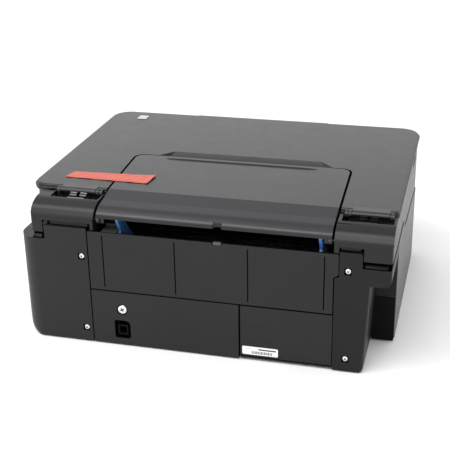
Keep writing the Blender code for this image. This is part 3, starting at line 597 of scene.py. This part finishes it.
def packing_tape():
    """Slightly wavy film over the gap between lid and support, its inner end lifted a little."""
    across, length = 8, 64
    level, lowest, curl_from, curl_over = 176.62, -0.15, 0.88, 0.12
    near = (Vector((178.0, 80.0)), Vector((183.0, 99.0)))
    far = (Vector((76.4, 73.0)), Vector((78.9, 100.8)))
    bm = bmesh.new()
    verts = []
    for i in range(length + 1):
        t = i / length
        row = []
        for j in range(across + 1):
            s = j / across
            p = near[0].lerp(far[0], t).lerp(near[1].lerp(far[1], t), s)
            curl = max(0.0, (t - curl_from - 0.04 * s) / curl_over)
            bulge = 0.25 * math.sin(t * 23 + s * 2.0) * (0.25 + 0.75 * abs(s - 0.5))
            lift = 1.4 * curl ** 1.7 + bulge
            wave = 0.12 * math.sin(t * 51.0 + s * 5.0)
            point = (p.x + 0.4 * curl ** 2, p.y, level + max(lift, lowest) + wave)
            row.append(bm.verts.new(Vector(point) * MM))
        verts.append(row)
    for i in range(length):
        for j in range(across):
            bm.faces.new((verts[i][j], verts[i][j + 1], verts[i + 1][j + 1], verts[i + 1][j]))
    bmesh.ops.recalc_face_normals(bm, faces=bm.faces)
    strip = paint(add_bmesh("tape_strip", bm), TAPE)
    film = strip.modifiers.new("film", "SOLIDIFY")
    film.thickness = 0.18 * MM
    film.offset = 0.0
    bake(strip).data.shade_smooth()
    place(strip, "support", "tape", "packing_tape", edge=0)


# ---- rear of the scanner unit
def shoulder_corners(inset):
    """Side view of a rounded rear end; with an inset, of the room inside it."""
    top, rear, front = 172.0 - inset, 174.0 - inset, 131.0 + inset
    low = 137.0 if not inset else 117.0
    return [(front, low), (rear, low), (rear, 154.0), (rear - 1.4, 158.6, 9.0),
            (rear - 7.6, 167.0 - inset, 15.0), (rear - 21.0, top, 24.0), (front, top)]


def shoulder(name, x0, x1, lip_x, inner_x, hinge, radii):
    """Hollow rear end, cut out over the cover's lip and the panel, with a hinge pocket."""
    body = paint(prism(name, shoulder_corners(0.0), x0, x1, "X", 6.0), ROUND)
    plan = rectangle(x0, x1, 120.0, 174.0, (0.0, 0.0, *radii))
    within(body, paint(prism(name + "_plan", plan, 100.0, 200.0, "Z"), ROUND))
    room = prism(name + "_room", shoulder_corners(WALL), x0 + WALL, x1 - WALL, "X")
    inside, outside = REAR - 9.0, REAR + 9.0
    lip = (*lip_x, 120.0, 152.0)
    over_lip = facing(name + "_lip", lip, (0.0, 0.0, 1.5, 1.5), inside, outside, CASE)
    over_panel = box(name + "_panel", (inner_x[0], inside, 120.0), (inner_x[1], outside, 144.5))
    opening = rectangle(hinge[0] - 1.0, hinge[1] + 1.0, 122.0, 150.2, (0.0, 0.0, 2.0, 2.0))
    pocket = prism(name + "_pocket", opening, 156.0, 190.0, "Z")
    middle = ((x0 + x1) / 2, *SUPPORT_AXIS)
    bore = tube(name + "_bore", middle, PIN_BORE, x1 - x0 + 40.0, "X", 24)
    # The hinge pocket is painted black as shade.
    return cut(body, paint(room, INNER), over_lip, paint(over_panel, CASE), paint(pocket, SHADE_BLACK),
               paint(bore, INNER))


def paint_foot_shade(end):
    """Paints shade on the rear's upright face below the crease and on its steep faces: they take
    the darker case plastic.
    """
    return recolour(end, CASE, lambda c, n: c.y > 170.0 and n.y > 0.5 and (
        c.z < 154.5 or n.z < 0.3))


def shoulders():
    right = shoulder("right_rear_end", 120.3, 196.0, (124.0, 182.0), (110.0, 130.0), HINGES[0],
                     (3.0, 1.2))
    cut(right, paint(box("front_shadow", (181.5, 129.0, 162.0), (198.0, 134.6, 180.0)), SHADE_BLACK))
    block = box("lip_key", (176.0, REAR - 7.0, 145.5), (179.5, REAR - 2.2, 152.4))
    fuse(right, paint(block, ROUND))
    place(paint_foot_shade(right), "scanner_unit", "case_plastic", "right_shoulder", edge=0.45)
    left = shoulder("left_rear_end", -SIDE, -152.3, (-184.5, -158.0), (-160.0, -150.0), HINGES[1],
                    (1.2, 4.0))
    fill = box("notch_fill", (-171.5, 146.0, 150.0), (-152.3, 171.4, 168.5))
    within(fill, prism("fill_shape", shoulder_corners(1.0), -180.0, -140.0, "X", 6.0))
    fuse(left, paint(fill, ROUND))
    dip = [(154.2, 176.0), (154.6, 170.6), (161.6, 169.8), (162.4, 168.0), (165.5, 166.8),
           (168.0, 165.6), (178.0, 164.6), (178.0, 176.0)]
    start, end = -168.4, -140.0
    notch = prism("finger_notch", dip, start, end, "X")
    plan = rectangle(start, end, 150.0, 180.0, (3.5, 0.0, 0.0, 0.0))
    within(notch, prism("notch_plan", plan, 150.0, 190.0, "Z"))
    cut(left, paint(notch, ROUND))
    place(paint_foot_shade(left), "scanner_unit", "case_plastic", "left_shoulder", edge=0.45)


def slot_backings():
    """Grey inner walls that show above each cover's lip, and a black sheet before the wall behind
    the slot that paints its shade.
    """
    made = []
    for side, sides, radii, back in (
            ("right", (127.0, 172.0, 147.6, 153.0), (1.0, 1.0, 0.0, 0.0), 172.6),
            ("left", (-181.6, -160.0, 147.9, 153.0), (2.5, 0.0, 0.0, 0.0), 172.2)):
        made.append(facing(f"lip_backing_{side}", sides, radii, 169.6, back, SHADE))
    place(join("slot_backings", made), "scanner_unit", "inner_plastic", edge=0.3)
    # Black sheet that paints the shade in the slot.
    slot_shade = facing("slot_shade_sheet", (-150.0, 112.0, 131.0, 165.0), 2.0, 122.6, 123.4, SHADE_BLACK)
    place(slot_shade, "scanner_unit", "inner_plastic", edge=0.1)


def hinge_ribs():
    """Rib bars and screw posts that show in the opening behind each hinge."""
    post = [(1.6, -6.0), (2.6, -6.0), (2.6, 1.6), (1.5, 2.0)]
    # The right hinge's bars carry a painted highlight; the left ones are dark inner plastic.
    for name, (x0, x1), finish in zip(("right", "left"), HINGES, (RIB_HIGHLIGHT, INNER)):
        made = []
        middle = (x0 + x1) / 2 - 0.3
        # Each bar: x from the middle, y, bottom, width, depth, height and finish.
        bars = [(side, y, z, width, 1.3, 1.4, finish) for side in (-6.0, 6.0)
                for y, z, width in ((135.0, 171.4, 8.0), (138.2, 169.8, 7.8))]
        bars.append((1.0, 143.4, 168.2, 20.0, 1.4, 1.4, finish))
        bars += [(x, 138.6, 162.5, 1.3, 11.0, 6.0, INNER) for x in (-20.5, -12.6, 0.0, 12.6, 20.5)]
        for k, (x, y, z, width, deep, tall, look) in enumerate(bars):
            low = (middle + x - width / 2, y - deep / 2, z)
            high = (middle + x + width / 2, y + deep / 2, z + tall)
            made.append(paint(box(f"rib_{name}_{k}", low, high), look))
        for x in (-16.6, 16.6):
            centre = (middle + x, 142.0, 165.0)
            made.append(paint(lathe(f"post_{name}_{len(made)}", centre, post, "Z", 20), INNER))
        # A black shelf under the bars paints the shade of the opening.
        low, high = (middle - 23.5, 132.6, 158.5), (middle + 23.5, 147.4, 162.6)
        made.append(paint(box(f"rib_{name}_shelf", low, high), SHADE_BLACK))
        place(join(f"hinge_ribs_{name}", made), "scanner_unit", "inner_plastic", edge=0.2)


# ---- rear covers
def edge_face(normal):
    """Whether a rear cover's face is turned sideways, up or down."""
    return abs(normal.y) < 0.6


def above_seam(name):
    """Everything above the slanting seam between the base and the scanner unit."""
    corners = [(37.0, 129.0), (20.0, 114.0), (-179.0, 99.0), (-179.0, 260.0), (37.0, 260.0)]
    return paint(prism(name, corners, -260.0, 260.0, "X"), CASE)


def pockets(names):
    """Square recess and bore of each cover screw, painted black as shade."""
    tools = []
    half = 4.0
    for name in names:
        x, z = SCREWS[name]
        square = (x - half, x + half, z - half, z + half)
        tools.append(facing(f"{name}_seat", square, 0.8, REAR - 1.9, BEHIND, SHADE_BLACK))
        tools.append(paint(tube(f"{name}_bore", (x, REAR - 3.0, z), 1.7, 12.0, "Y", 20), SHADE_BLACK))
    return tools


def right_cover():
    """Cover with a large upright corner whose lower edge rolls under towards the side."""
    x0, front, radius = 128.8, -141.2, 23.0

    def rings(inset, levels):
        corners = rectangle(x0, SIDE - inset, front + inset, REAR - inset,
                            (0.0, 0.0, radius - inset, 0.0))
        made = []
        for tuck, z in levels:
            ring = []
            for p in outline(corners, 5.0):
                share = min(1.0, max(0.0, (p.x - SIDE + radius) / radius))
                ring.append((p.x - tuck * share, p.y, z))
            made.append(ring)
        return made

    roll = [(7.0, 1.5), (4.9, 2.7), (3.1, 4.4), (1.7, 6.8), (0.7, 9.8), (0.2, 13.5), (0.0, 18.0)]
    cover = paint(from_rings("right_wrap_cover", rings(0.0, [*roll, (0.0, LEDGE_Z)])), CASE)
    fuse(cover, paint(box("cover_lip", (x0, REAR - 6.0, 127.0), (180.0, REAR, 146.0)), CASE))
    low_room = [(tuck, z - 0.05) for tuck, z in roll]
    inner = from_rings("cover_inside", rings(2.4, [(7.0, -9.0), *low_room, (0.0, 126.5)]))
    cut(inner, box("cover_rear_wall", (x0 - 5.0, REAR - 3.6, -20.0), (190.0, REAR - 1.0, 128.0)))
    corner = (x0 - 9.0, front - 9.0)
    open_side = box("cover_open_side", (*corner, -9.0), (200.0, 124.0, 126.6))
    front_room = box("cover_front_room", (*corner, 6.0), (SIDE - WALL, 100.0, 260.0))
    cut(cover, paint(inner, INNER), paint(open_side, INNER), paint(front_room, INNER),
        above_seam("cover_seam"), *pockets(("cover_screw_1", "cover_screw_2")))
    # The cover's face at the seam with the panel is painted black as shade.
    recolour(cover, SHADE_BLACK, lambda c, n: abs(c.x - x0) < 0.3 and abs(n.x) > 0.6)
    place(cover, "chassis", "case_plastic", "right_cover", edge=0.4)


def ledge_details():
    """Small tongues that stand in the gap between each ledge and the shoulder over it, with black
    sheets for the gap's wall and floor that paint its shade.
    """
    made = []
    bottom = LEDGE_Z - 0.6
    for n, (sides, start, end, gap, finish) in enumerate((
            ((183.4, 192.0, 130.4, 134.0), 0.3, 1.7, (181.2, 195.4), CASE),
            ((-210.5, -186.4, 130.2, 132.8), 1.5, 0.3, (-214.2, -184.8), INNER))):
        wall = box(f"gap_shade_wall_{n}", (gap[0], 166.6, bottom), (gap[1], 168.4, 136.4))
        floor = box(f"gap_shade_floor_{n}", (gap[0], 168.4, bottom), (gap[1], 174.2, LEDGE_Z + 0.25))
        tongue = facing(f"tongue_{n}", sides, (start, end, end, start), 168.4, 174.0, finish)
        made += [paint(wall, SHADE_BLACK), paint(floor, SHADE_BLACK), tongue]
    place(join("ledge_tongues", made), "chassis", "case_plastic", edge=0.3)


def left_rear_cover():
    """Post with its overhang over the power module bay, and sheets on the bay's wall that paint its
    shade, darker low down.
    """
    outer = [(-159.0, 129.0), (-SIDE, 129.0, 1.0), (-SIDE, 109.0, 8.0), (-193.0, 109.0, 1.5),
             (-188.0, 1.5, 5.0), (-154.0, 1.5), (-154.0, 115.4, 1.5), (-159.0, 116.8, 0.5)]
    # The post cover takes the case plastic with painted shade.
    cover = paint(prism("left_post_cover", outer, BAY_Y + 0.8, REAR, "Y"), POST_SHADE)
    plan = rectangle(-140.0, -SIDE, 60.0, REAR, (0.0, 0.0, 3.0, 0.0))
    within(cover, paint(prism("post_plan", plan, -10.0, 200.0, "Z"), POST_SHADE))
    lip = (-183.5, -159.0, 126.0, 146.4)
    fuse(cover, facing("left_lip", lip, (0.0, 0.0, 1.0, 3.0), REAR - 6.0, REAR, POST_SHADE))
    radius = 4.5
    rounding = []
    for x, z in ((-187.7, -4.0), (-193.0, 109.0)):
        ring = [(x - 2.0, REAR + 2.0, z), (x + radius, REAR + 2.0, z)]
        for turn in range(90, 181, 10):
            a = math.radians(turn)
            ring.append((x + radius + radius * math.cos(a),
                         REAR - radius + radius * math.sin(a), z))
        rounding.append([*ring, (x - 2.0, REAR - radius, z)])
    cut(cover, paint(from_rings("post_rounding", rounding), POST_SHADE))
    room = [(-145.0, 126.5), (-212.5, 126.5), (-212.5, 111.5, 5.5), (-189.0, 111.5),
            (-184.0, -9.0), (-145.0, -9.0)]
    inside = prism("left_room", room, BAY_Y - 9.0, REAR - 3.6, "Y")
    socket = prism("socket_hole", rectangle(143.0, 151.0, 48.0, 72.0, 1.0), -200.0, -180.0, "X")
    # The socket hole and the screw pockets are painted black as shade.
    cut(cover, paint(inside, INNER), paint(socket, SHADE_BLACK),
        *pockets(("cover_screw_3", "cover_screw_4")))
    # Faces at the seams turned sideways, up or down are painted black as shade.
    recolour(cover, SHADE_BLACK, lambda c, n: c.x > -160.0 and c.z < 128.0 and edge_face(n))
    place(cover, "chassis", "case_plastic", "left_rear_cover", edge=0.4)
    # Painted shade on the bay wall: a near-black sheet low down, dark inner plastic above.
    shade_sheets = [facing(f"bay_shade_sheet_{n}", (-214.2, -189.0, low, high), 1.0, BAY_Y, BAY_Y + 0.4, finish)
              for n, (low, high, finish) in enumerate(((2.2, 59.6, HOLLOW_SHADE), (60.4, 107.6, INNER)))]
    place(join("bay_shade_sheets", shade_sheets), "chassis", "inner_plastic", edge=0.1)


def upper_rear_panel():
    """Panel with four upright grooves and the latch in its upper edge."""
    right, left, bottom = 127.6, -152.8, 71.2
    corners = [(right, bottom), (right, 143.0, 0.8), (-158.2, 143.0, 0.8), (-158.2, 119.0),
               (left, 115.0), (left, bottom)]
    panel = paint(prism("upper_rear_panel", corners, REAR - 3.0, REAR, "Y"), CASE)
    tools = []
    for n, x in enumerate((110.0, 25.0, -58.5, -143.0)):
        groove = (x - 0.55, x + 0.55, 75.0, 139.5)
        tools.append(facing(f"groove_{n}", groove, 0.5, REAR - 1.2, BEHIND, SHADE_BLACK))
    gap = box("latch_gap", (-29.8, REAR - 5.0, 140.8), (-18.2, BEHIND, 150.0))
    # The grooves, the latch gap and the panel's edges in the seams are painted black as shade.
    cut(panel, *tools, paint(gap, SHADE_BLACK))
    recolour(panel, SHADE_BLACK, lambda c, n: edge_face(n) and (c.z < 140.0 or abs(n.x) > 0.6))
    place(panel, "chassis", "case_plastic", "rear_panel_upper", edge=0.3)
    sides = (-28.6, -19.4, 139.0, 143.6)
    latch = facing("panel_latch", sides, (0.0, 0.0, 0.8, 0.8), REAR - 4.5, REAR - 0.4, RIB)
    place(latch, "chassis", "inner_plastic", edge=0.4)


def lower_rear_panel():
    """Panel with the data port's opening and the large screw's seat."""
    panel = paint(box("lower_rear_panel", (-47.6, REAR - 3.0, 1.5), (127.6, REAR, 69.8)), CASE)
    opening, radii = (82.0, 101.0, 10.0, 33.0), (3.5, 2.5, 2.0, 5.5)
    port = facing("port_hole", opening, radii, REAR - 9.0, REAR + 9.0, SHADE_BLACK)
    x, z = LARGE_SCREW
    seat = tube("large_seat", (x, REAR, z), 6.5, 3.0, "Y", 40)
    bore = tube("large_bore", (x, REAR - 3.0, z), 2.2, 12.0, "Y", 20)
    # The port opening, the screw's seat and bore and the panel's edges are painted black as shade.
    cut(panel, port, paint(seat, SHADE_BLACK), paint(bore, SHADE_BLACK))
    recolour(panel, SHADE_BLACK, lambda c, n: edge_face(n))
    place(panel, "chassis", "case_plastic", "rear_panel_lower", edge=0.3)


def rating_panel():
    """Recessed panel with the label's seat and shallow blank fields, and a black sheet behind the
    seams that paints their shade.
    """
    panel = paint(box("rating_panel", (-153.0, REAR - 4.2, 3.0), (-49.2, REAR - 1.2, 69.0)), CASE)
    tools = [facing("label_seat", (-94.5, -51.0, 7.0, 20.5), 1.5, REAR - 1.5, BEHIND, CASE)]
    fields = ((-96.0, -51.5, 24.0, 44.0), (-96.0, -51.5, 45.0, 67.0), (-123.5, -97.5, 8.0, 67.0),
              (-150.5, -125.0, 8.0, 67.0))
    for n, sides in enumerate(fields):
        tools.append(facing(f"field_{n}", sides, 1.0, REAR - 1.32, BEHIND, CASE))
    # A groove near the bottom and the panel's edges are painted black as shade.
    gap = box("label_gap", (-152.2, REAR - 2.4, 4.3), (-50.0, BEHIND, 5.6))
    cut(panel, *tools, paint(gap, SHADE_BLACK))
    recolour(panel, SHADE_BLACK, lambda c, n: edge_face(n) and (
        c.x > -49.6 or c.x < -152.6 or c.z > 68.6 or c.z < 4.0))
    place(panel, "chassis", "case_plastic", "rear_label_panel", edge=0.1)

    sides = (-157.6, 128.4, 2.0, 138.0)
    # Black sheet behind the seams that paints their shade.
    behind = facing("seam_shade_sheet", sides, 1.0, REAR - 5.6, REAR - 4.8, SHADE_BLACK)
    hole = box("backing_port_hole", (80.0, REAR - 9.0, 8.0), (103.0, REAR, 35.0))
    place(cut(behind, hole), "chassis", "inner_plastic", edge=0.1)


def serial_label():
    """Blank white label with plain bars."""
    sides = (-92.7, -51.4, 7.8, 18.0)
    made = [facing("label_sheet", sides, 1.5, REAR - 1.4, REAR - 1.05, PAPER)]
    face = REAR - 1.1
    widths = [0.5, 0.9, 0.4, 0.6, 1.1, 0.4, 0.8, 0.5, 0.4, 1.0, 0.6, 0.4, 0.9, 0.5, 0.7, 0.4, 1.1,
              0.5, 0.4, 0.8]
    gaps = (0.45, 0.7, 0.55)
    x = -62.5
    for n, width in enumerate(widths):
        made.append(paint(box(f"bar_{n}", (x - width, face, 9.0), (x, REAR - 1.0, 12.6)), INK))
        x -= width + gaps[n % 3]
    stripes = ((-90.5, -70.0, 14.2, 15.9, INK), (-64.5, -54.5, 14.9, 15.6, MARK))
    for n, (a, b, low, high, finish) in enumerate(stripes):
        stripe = box(f"stripe_{n}", (a, face, low), (b, REAR - 1.02, high))
        made.append(paint(stripe, finish))
    place(join("serial_sticker", made), "chassis", "white_sheet", "serial_label", edge=0)


def screw(name, x, seat_y, z, head, height, node):
    """Pan head with a shank and a cross recess."""
    shank = 0.35 * head
    profile = [(shank, -2.6), (shank, 0.0), (head, 0.0), (head, height * 0.25),
               (head * 0.94, height * 0.55), (head * 0.72, height * 0.86), (head * 0.4, height)]
    body = paint(lathe(name, (x, seat_y, z), profile, "Y", 40), ZINC)
    recess = (seat_y + height * 0.42) * MM
    length, width = head * 0.52, head * 0.13
    arms = []
    for n, degrees in enumerate((28.0, 118.0)):
        arm = box(f"{name}_arm_{n}", (-length, -0.25 * head, -width), (length, 4.0, width))
        turned(arm, degrees, x, seat_y + height * 0.62, z)
        for vertex in arm.data.vertices:
            vertex.co.y = max(vertex.co.y, recess)
        arms.append(paint(arm, INNER))
    cut(body, *arms)
    place(body, "chassis", "steel", node, edge=0.12)


def screws():
    for node, (x, z) in SCREWS.items():
        screw(node + "_head", x, REAR - 1.85, z, 3.3, 1.75, node)
    x, z = LARGE_SCREW
    screw("large_screw_head", x, REAR - 1.25, z, 5.4, 1.2, "panel_screw_large")


def edge_guides():
    """Blue guides that lean back with the sheets, with a rounded rear edge and a thumb rib."""
    side = [(168.3, 157.8, 2.0), (158.5, 139.8), (162.0, 136.0), (141.0, 87.0), (120.0, 92.0, 6.0),
            (124.0, 124.0, 8.0), (146.0, 148.0, 8.0), (160.5, 162.5, 4.0)]
    pad = [(163.0, 136.0), (146.5, 99.5), (144.5, 100.5), (161.0, 137.0)]
    rib = [(166.6, 157.6, 1.0), (158.6, 142.4), (156.6, 143.4), (163.8, 159.2, 1.0)]
    right_x, left_x = (92.5, 95.5), (-137.9, -134.9)
    for name, plate_x, shoe_x, rib_x in (
            ("right", right_x, (83.5, 93.5), (right_x[1] - 0.6, right_x[1] + 1.0)),
            ("left", left_x, (-135.9, -125.9), (left_x[0] - 1.0, left_x[0] + 0.6))):
        shapes = (("guide", side, plate_x), ("shoe", pad, shoe_x), ("rib", rib, rib_x))
        plate, *tools = [paint(prism(f"{kind}_{name}", corners, *stations, "X"), BLUE)
                         for kind, corners, stations in shapes]
        fuse(plate, *tools)
        place(plate, f"guide_{name}", "guide_plastic", f"edge_guide_{name}", edge=0.9)


def slot_details():
    """Ribs inside the paper slot, painted black as shade, and the ledge at its right-hand end."""
    ribs = []
    corners = [(169.0, 141.4), (171.2, 141.4, 0.5), (171.2, 136.0), (169.4, 136.0)]
    for n in range(13):
        x = -130.0 + n * 17.5
        if not 76.0 < x < 96.0:
            ribs.append(paint(prism(f"slot_rib_{n}", corners, x - 0.7, x + 0.7, "X"), SHADE_BLACK))
    place(join("slot_ribs", ribs), "chassis", "inner_plastic", edge=0)
    start, end = 95.5, 113.0
    corners = rectangle(150.0, 170.8, 141.6, 139.6, (0.0, 0.8, 0.0, 0.0))
    shelf = prism("slot_shelf", corners, start, end, "X")
    corners = rectangle(150.0, 152.0, 141.2, 144.6, (0.0, 0.0, 0.8, 0.8))
    rail = prism("slot_shelf_rail", corners, start, end, "X")
    fuse(paint(shelf, RIB), paint(rail, RIB))
    place(shelf, "chassis", "inner_plastic", edge=0.3)


# ---- front
def footprint(inset):
    far, radius = SIDE - inset, 24.0 - inset
    return rectangle(-far, far, FRONT + inset, REAR + 20.0, (radius, radius, 0.0, 0.0))


def front_bezel():
    levels = [(1.6, 1.5), (0.5, 2.4), (0.0, 4.5), (0.0, 104.0)]
    bezel = paint(slab("front_frame", footprint, levels), CASE)
    inside = prism("front_room", footprint(WALL), -9.0, 97.0, "Z")
    behind = box("front_behind", (-260.0, FRONT + 27.0, -9.0), (260.0, 260.0, 200.0))
    opening = (-160.0, 140.0, 21.0, 86.0)
    mouth = facing("front_mouth", opening, 4.0, FRONT - 9.0, FRONT + 20.0, CASE)
    # A shallow groove across the front, painted black as shade.
    line = box("front_line", (-250.0, BEFORE, 91.0), (250.0, FRONT + 0.6, 91.8))
    cut(bezel, paint(behind, CASE), paint(inside, INNER), mouth, paint(line, SHADE_BLACK),
        above_seam("front_seam"))
    place(bezel, "chassis", "case_plastic", "front_bezel", edge=0.5)


def output_tray():
    y, z = -165.0, 24.0
    sides = (-158.0, 138.0, z + 4.5, 84.5)
    tray = facing("front_tray", sides, 3.0, FRONT + 0.3, FRONT + 3.3, CASE)
    web = box("tray_web", (-150.0, y - 2.3, z), (130.0, y + 0.7, z + 8.0))
    spine = tube("tray_spine", (-10.0, y, z), 2.5, 292.0, "X", 24)
    fuse(tray, paint(web, CASE), paint(spine, CASE))
    radii = (0.0, 0.0, 1.2, 1.2)
    grip = slab("tray_grip", lambda i: rectangle(-35 + i, 15 - i, BEFORE, FRONT + 1.8 - i, radii),
                [(0.8, 77.0), (0.0, 80.0), (0.0, 90.0)])
    panel = facing("tray_panel", (-148.0, 128.0, 36.0, 74.0), 3.0, BEFORE, FRONT + 0.7, CASE)
    cut(tray, paint(grip, INNER), panel)
    place(tray, "tray", "case_plastic", "output_tray", edge=0.4)


def control_panel():
    """Gloss panel with wells for the keys and a seat for the blank screen."""
    sides = (-120.0, 120.0, 112.0, 158.0)
    panel = facing("front_panel", sides, 5.0, FRONT - 2.9, FRONT - 0.4, GLOSS)
    wells = [paint(tube(name + "_well", (x, FRONT, KEY_Z), 7.6, 30.0, "Y", 48), INNER)
             for name, x in KEYS.items()]
    sides, before = (-60.0, 20.0, 121.0, 149.0), FRONT - 9.0
    cut(panel, facing("screen_seat", sides, 2.0, before, FRONT - 1.6, INNER), *wells)
    place(panel, "scanner_unit", "lid_plastic", "control_panel", edge=0.5)
    sides = (-59.5, 19.5, 121.5, 148.5)
    screen = facing("front_screen", sides, 1.8, FRONT - 2.85, FRONT - 1.9, GLOSS)
    sides = (-54.0, 14.0, 125.0, 145.0)
    cut(screen, facing("screen_area", sides, 0.0, before, FRONT - 2.75, SCREEN))
    place(screen, "scanner_unit", "inner_plastic", "display_window", edge=0.15)


SIGN_FRONT, SIGN_BACK = FRONT - 4.28, FRONT - 4.1


def ring_arc(name, x, z, radius, width, start, stop):
    steps = 28
    outer, inner = [], []
    for n in range(steps + 1):
        a = math.radians(start + (stop - start) * n / steps)
        for r, points in ((radius + width / 2, outer), (radius - width / 2, inner)):
            points.append((x + r * math.cos(a), z + r * math.sin(a)))
    return prism(name, outer + inner[::-1], SIGN_FRONT, SIGN_BACK, "Y")


def stroke(name, x, z, length, width, degrees, back=SIGN_BACK):
    piece = box(name, (-length / 2, SIGN_FRONT, -width / 2), (length / 2, back, width / 2))
    return turned(piece, degrees, x, 0.0, z)


def key_sign(node, x, z):
    """Plain generic mark of a key."""
    if node == "power_button":
        return [ring_arc("power_ring", x, z, 2.6, 0.6, 120.0, 420.0),
                stroke("power_line", x, z + 2.3, 2.6, 0.6, 90)]
    if node == "cancel_button":
        return [stroke("cross_a", x, z, 5.4, 0.6, 45),
                stroke("cross_b", x, z, 5.4, 0.6, -45, SIGN_BACK - 0.02)]
    if node == "scan_button":
        return [stroke("scan_a", x, z - 1.2, 5.6, 0.6, 0),
                stroke("scan_b", x - 0.3, z + 1.0, 5.6, 0.6, -22)]
    sides = ((0, 1.8, 0), (0, -1.8, 0), (1.8, 0, 90), (-1.8, 0, 90))
    return [stroke(f"copy_{n}", x + dx, z + dz, 3.6, 0.5, degrees)
            for n, (dx, dz, degrees) in enumerate(sides)]


def buttons():
    """Domed keys, each with a plain printed sign."""
    profile = [(7.0, 1.2), (7.2, 1.0), (7.2, -0.5), (6.9, -0.95), (6.2, -1.15), (3.0, -1.2)]
    for node, x in KEYS.items():
        key = lathe(node + "_key", (x, FRONT - 3.0, KEY_Z), profile, "Y", 56)
        made = [paint(key, SIDE_GRAIN), *[paint(sign, ICON) for sign in key_sign(node, x, KEY_Z)]]
        body = node.replace("button", "key")
        place(join(node + "_cap", made), body, "case_plastic", node, edge=0.1)


# ---- carried-over CAD nodes
def dress_nodes():
    finishes = (
        (CASE, "base_tray colour_cartridge"),
        (SIDE_GRAIN, "left_side_cover scanner_frame"),
        # paper_ramp and platen take the painted-shade black of the dark inside.
        (SHADE_BLACK, "paper_ramp platen"),
        (INNER, "scanner_floor service_station carriage motor_pulley scan_bar power_inlet"
                " lid_hinge_right lid_hinge_left"),
        (GLOSS, "black_cartridge"),
        # The data port is painted with the shade of its hollow.
        (HOLLOW_SHADE, "usb_port"),
        (RUBBER, "carriage_belt feed_roller exit_roller"
                 " foot_front_left foot_front_right foot_rear_left foot_rear_right"),
        (STEEL, "drive_roller carriage_rail carriage_motor feed_motor scan_rail"),
        (DARK_STEEL, "support_pin_right support_pin_left"),
        (GLASS, "scanner_glass"),
        (FOAM, "lid_pad"),
        (BOARD, "logic_board"),
    )
    for finish, names in finishes:
        for name in names.split():
            paint(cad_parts[name], finish)
    for name in ("left_side_cover", "scanner_frame"):
        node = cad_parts[name]
        weld = node.modifiers.new("weld", "WELD")
        weld.merge_threshold = 0.01 * MM
        round_edges(node, 0.5, 40).harden_normals = True


# ---- stage
def backdrop():
    floor = add("floor", bpy.data.meshes.new("floor"))
    floor.data.from_pydata([(-12, -12, 0), (12, -12, 0), (12, 12, 0), (-12, 12, 0)], [],
                           [(0, 1, 2, 3)])
    g = Graph("pale_floor")
    g.set("Base Color", g.blend(g.noise(2.0, 2.0), (0.93, 0.93, 0.935), (0.95, 0.95, 0.95)))
    g.set("Roughness", 0.65)
    g.set("Specular IOR Level", 0.25)
    paint(floor, g.material)


def light():
    """White all round, greyer overhead and a little dimmer from the printer's left."""
    world = bpy.data.worlds.new("studio")
    world.use_nodes = True
    nodes, links = world.node_tree.nodes, world.node_tree.links
    axis = nodes.new("ShaderNodeSeparateXYZ")
    links.new(nodes.new("ShaderNodeTexCoord").outputs["Generated"], axis.inputs["Vector"])
    sky = nodes.new("ShaderNodeValToRGB")
    level, overhead = sky.color_ramp.elements
    level.position, level.color = 0.45, (1.0, 1.0, 1.0, 1.0)
    overhead.position, overhead.color = 0.80, (0.62, 0.615, 0.63, 1.0)
    links.new(axis.outputs["Z"], sky.inputs["Fac"])
    falling = nodes.new("ShaderNodeMapRange")
    set_range(falling, -0.1, 0.45, 0.87, 1.0)
    links.new(axis.outputs["X"], falling.inputs["Value"])
    dimmed = nodes.new("ShaderNodeVectorMath")
    dimmed.operation = "SCALE"
    links.new(sky.outputs["Color"], dimmed.inputs["Vector"])
    links.new(falling.outputs["Result"], dimmed.inputs["Scale"])
    links.new(dimmed.outputs["Vector"], nodes["Background"].inputs["Color"])
    nodes["Background"].inputs["Strength"].default_value = 1.42
    bpy.context.scene.world = world

    softbox = bpy.data.lights.new("key_softbox", "AREA")
    softbox.shape = "RECTANGLE"
    softbox.size, softbox.size_y = 1.8, 0.8
    softbox.energy = 24.0
    at, aim = Vector((0.40, 0.95, 1.75)), Vector((0.0, 0.17, 0.15))
    lamp = add("key_softbox", softbox)
    lamp.location = at
    lamp.rotation_euler = (aim - at).to_track_quat("-Z", "Y").to_euler()


def photo_camera():
    """Camera fitted to the case's straight edges in the photo."""
    focal_pixels, photo_pixels, sensor = 989.0, 450.0, 36.0
    camera = bpy.data.cameras.new("camera")
    camera.lens = focal_pixels / photo_pixels * sensor
    camera.sensor_width = sensor
    camera.clip_start = 0.01
    camera.clip_end = 60.0
    eye = add("camera", camera)
    turn = Matrix(((-0.967738, 0.086062, -0.236806), (-0.251461, -0.389018, 0.886246),
                   (-0.01585, 0.917201, 0.398109)))
    eye.matrix_world = Matrix.Translation((-0.28641, 1.11991, 0.59045)) @ turn.to_4x4()
    bpy.context.scene.camera = eye
    bpy.context.scene.view_settings.view_transform = "Standard"


backdrop()
light()
photo_camera()
scanner_lid()
lid_badge()
paper_support()
packing_tape()
shoulders()
slot_backings()
hinge_ribs()
right_cover()
left_rear_cover()
ledge_details()
upper_rear_panel()
lower_rear_panel()
rating_panel()
serial_label()
screws()
edge_guides()
slot_details()
front_bezel()
output_tray()
control_panel()
buttons()
dress_nodes()
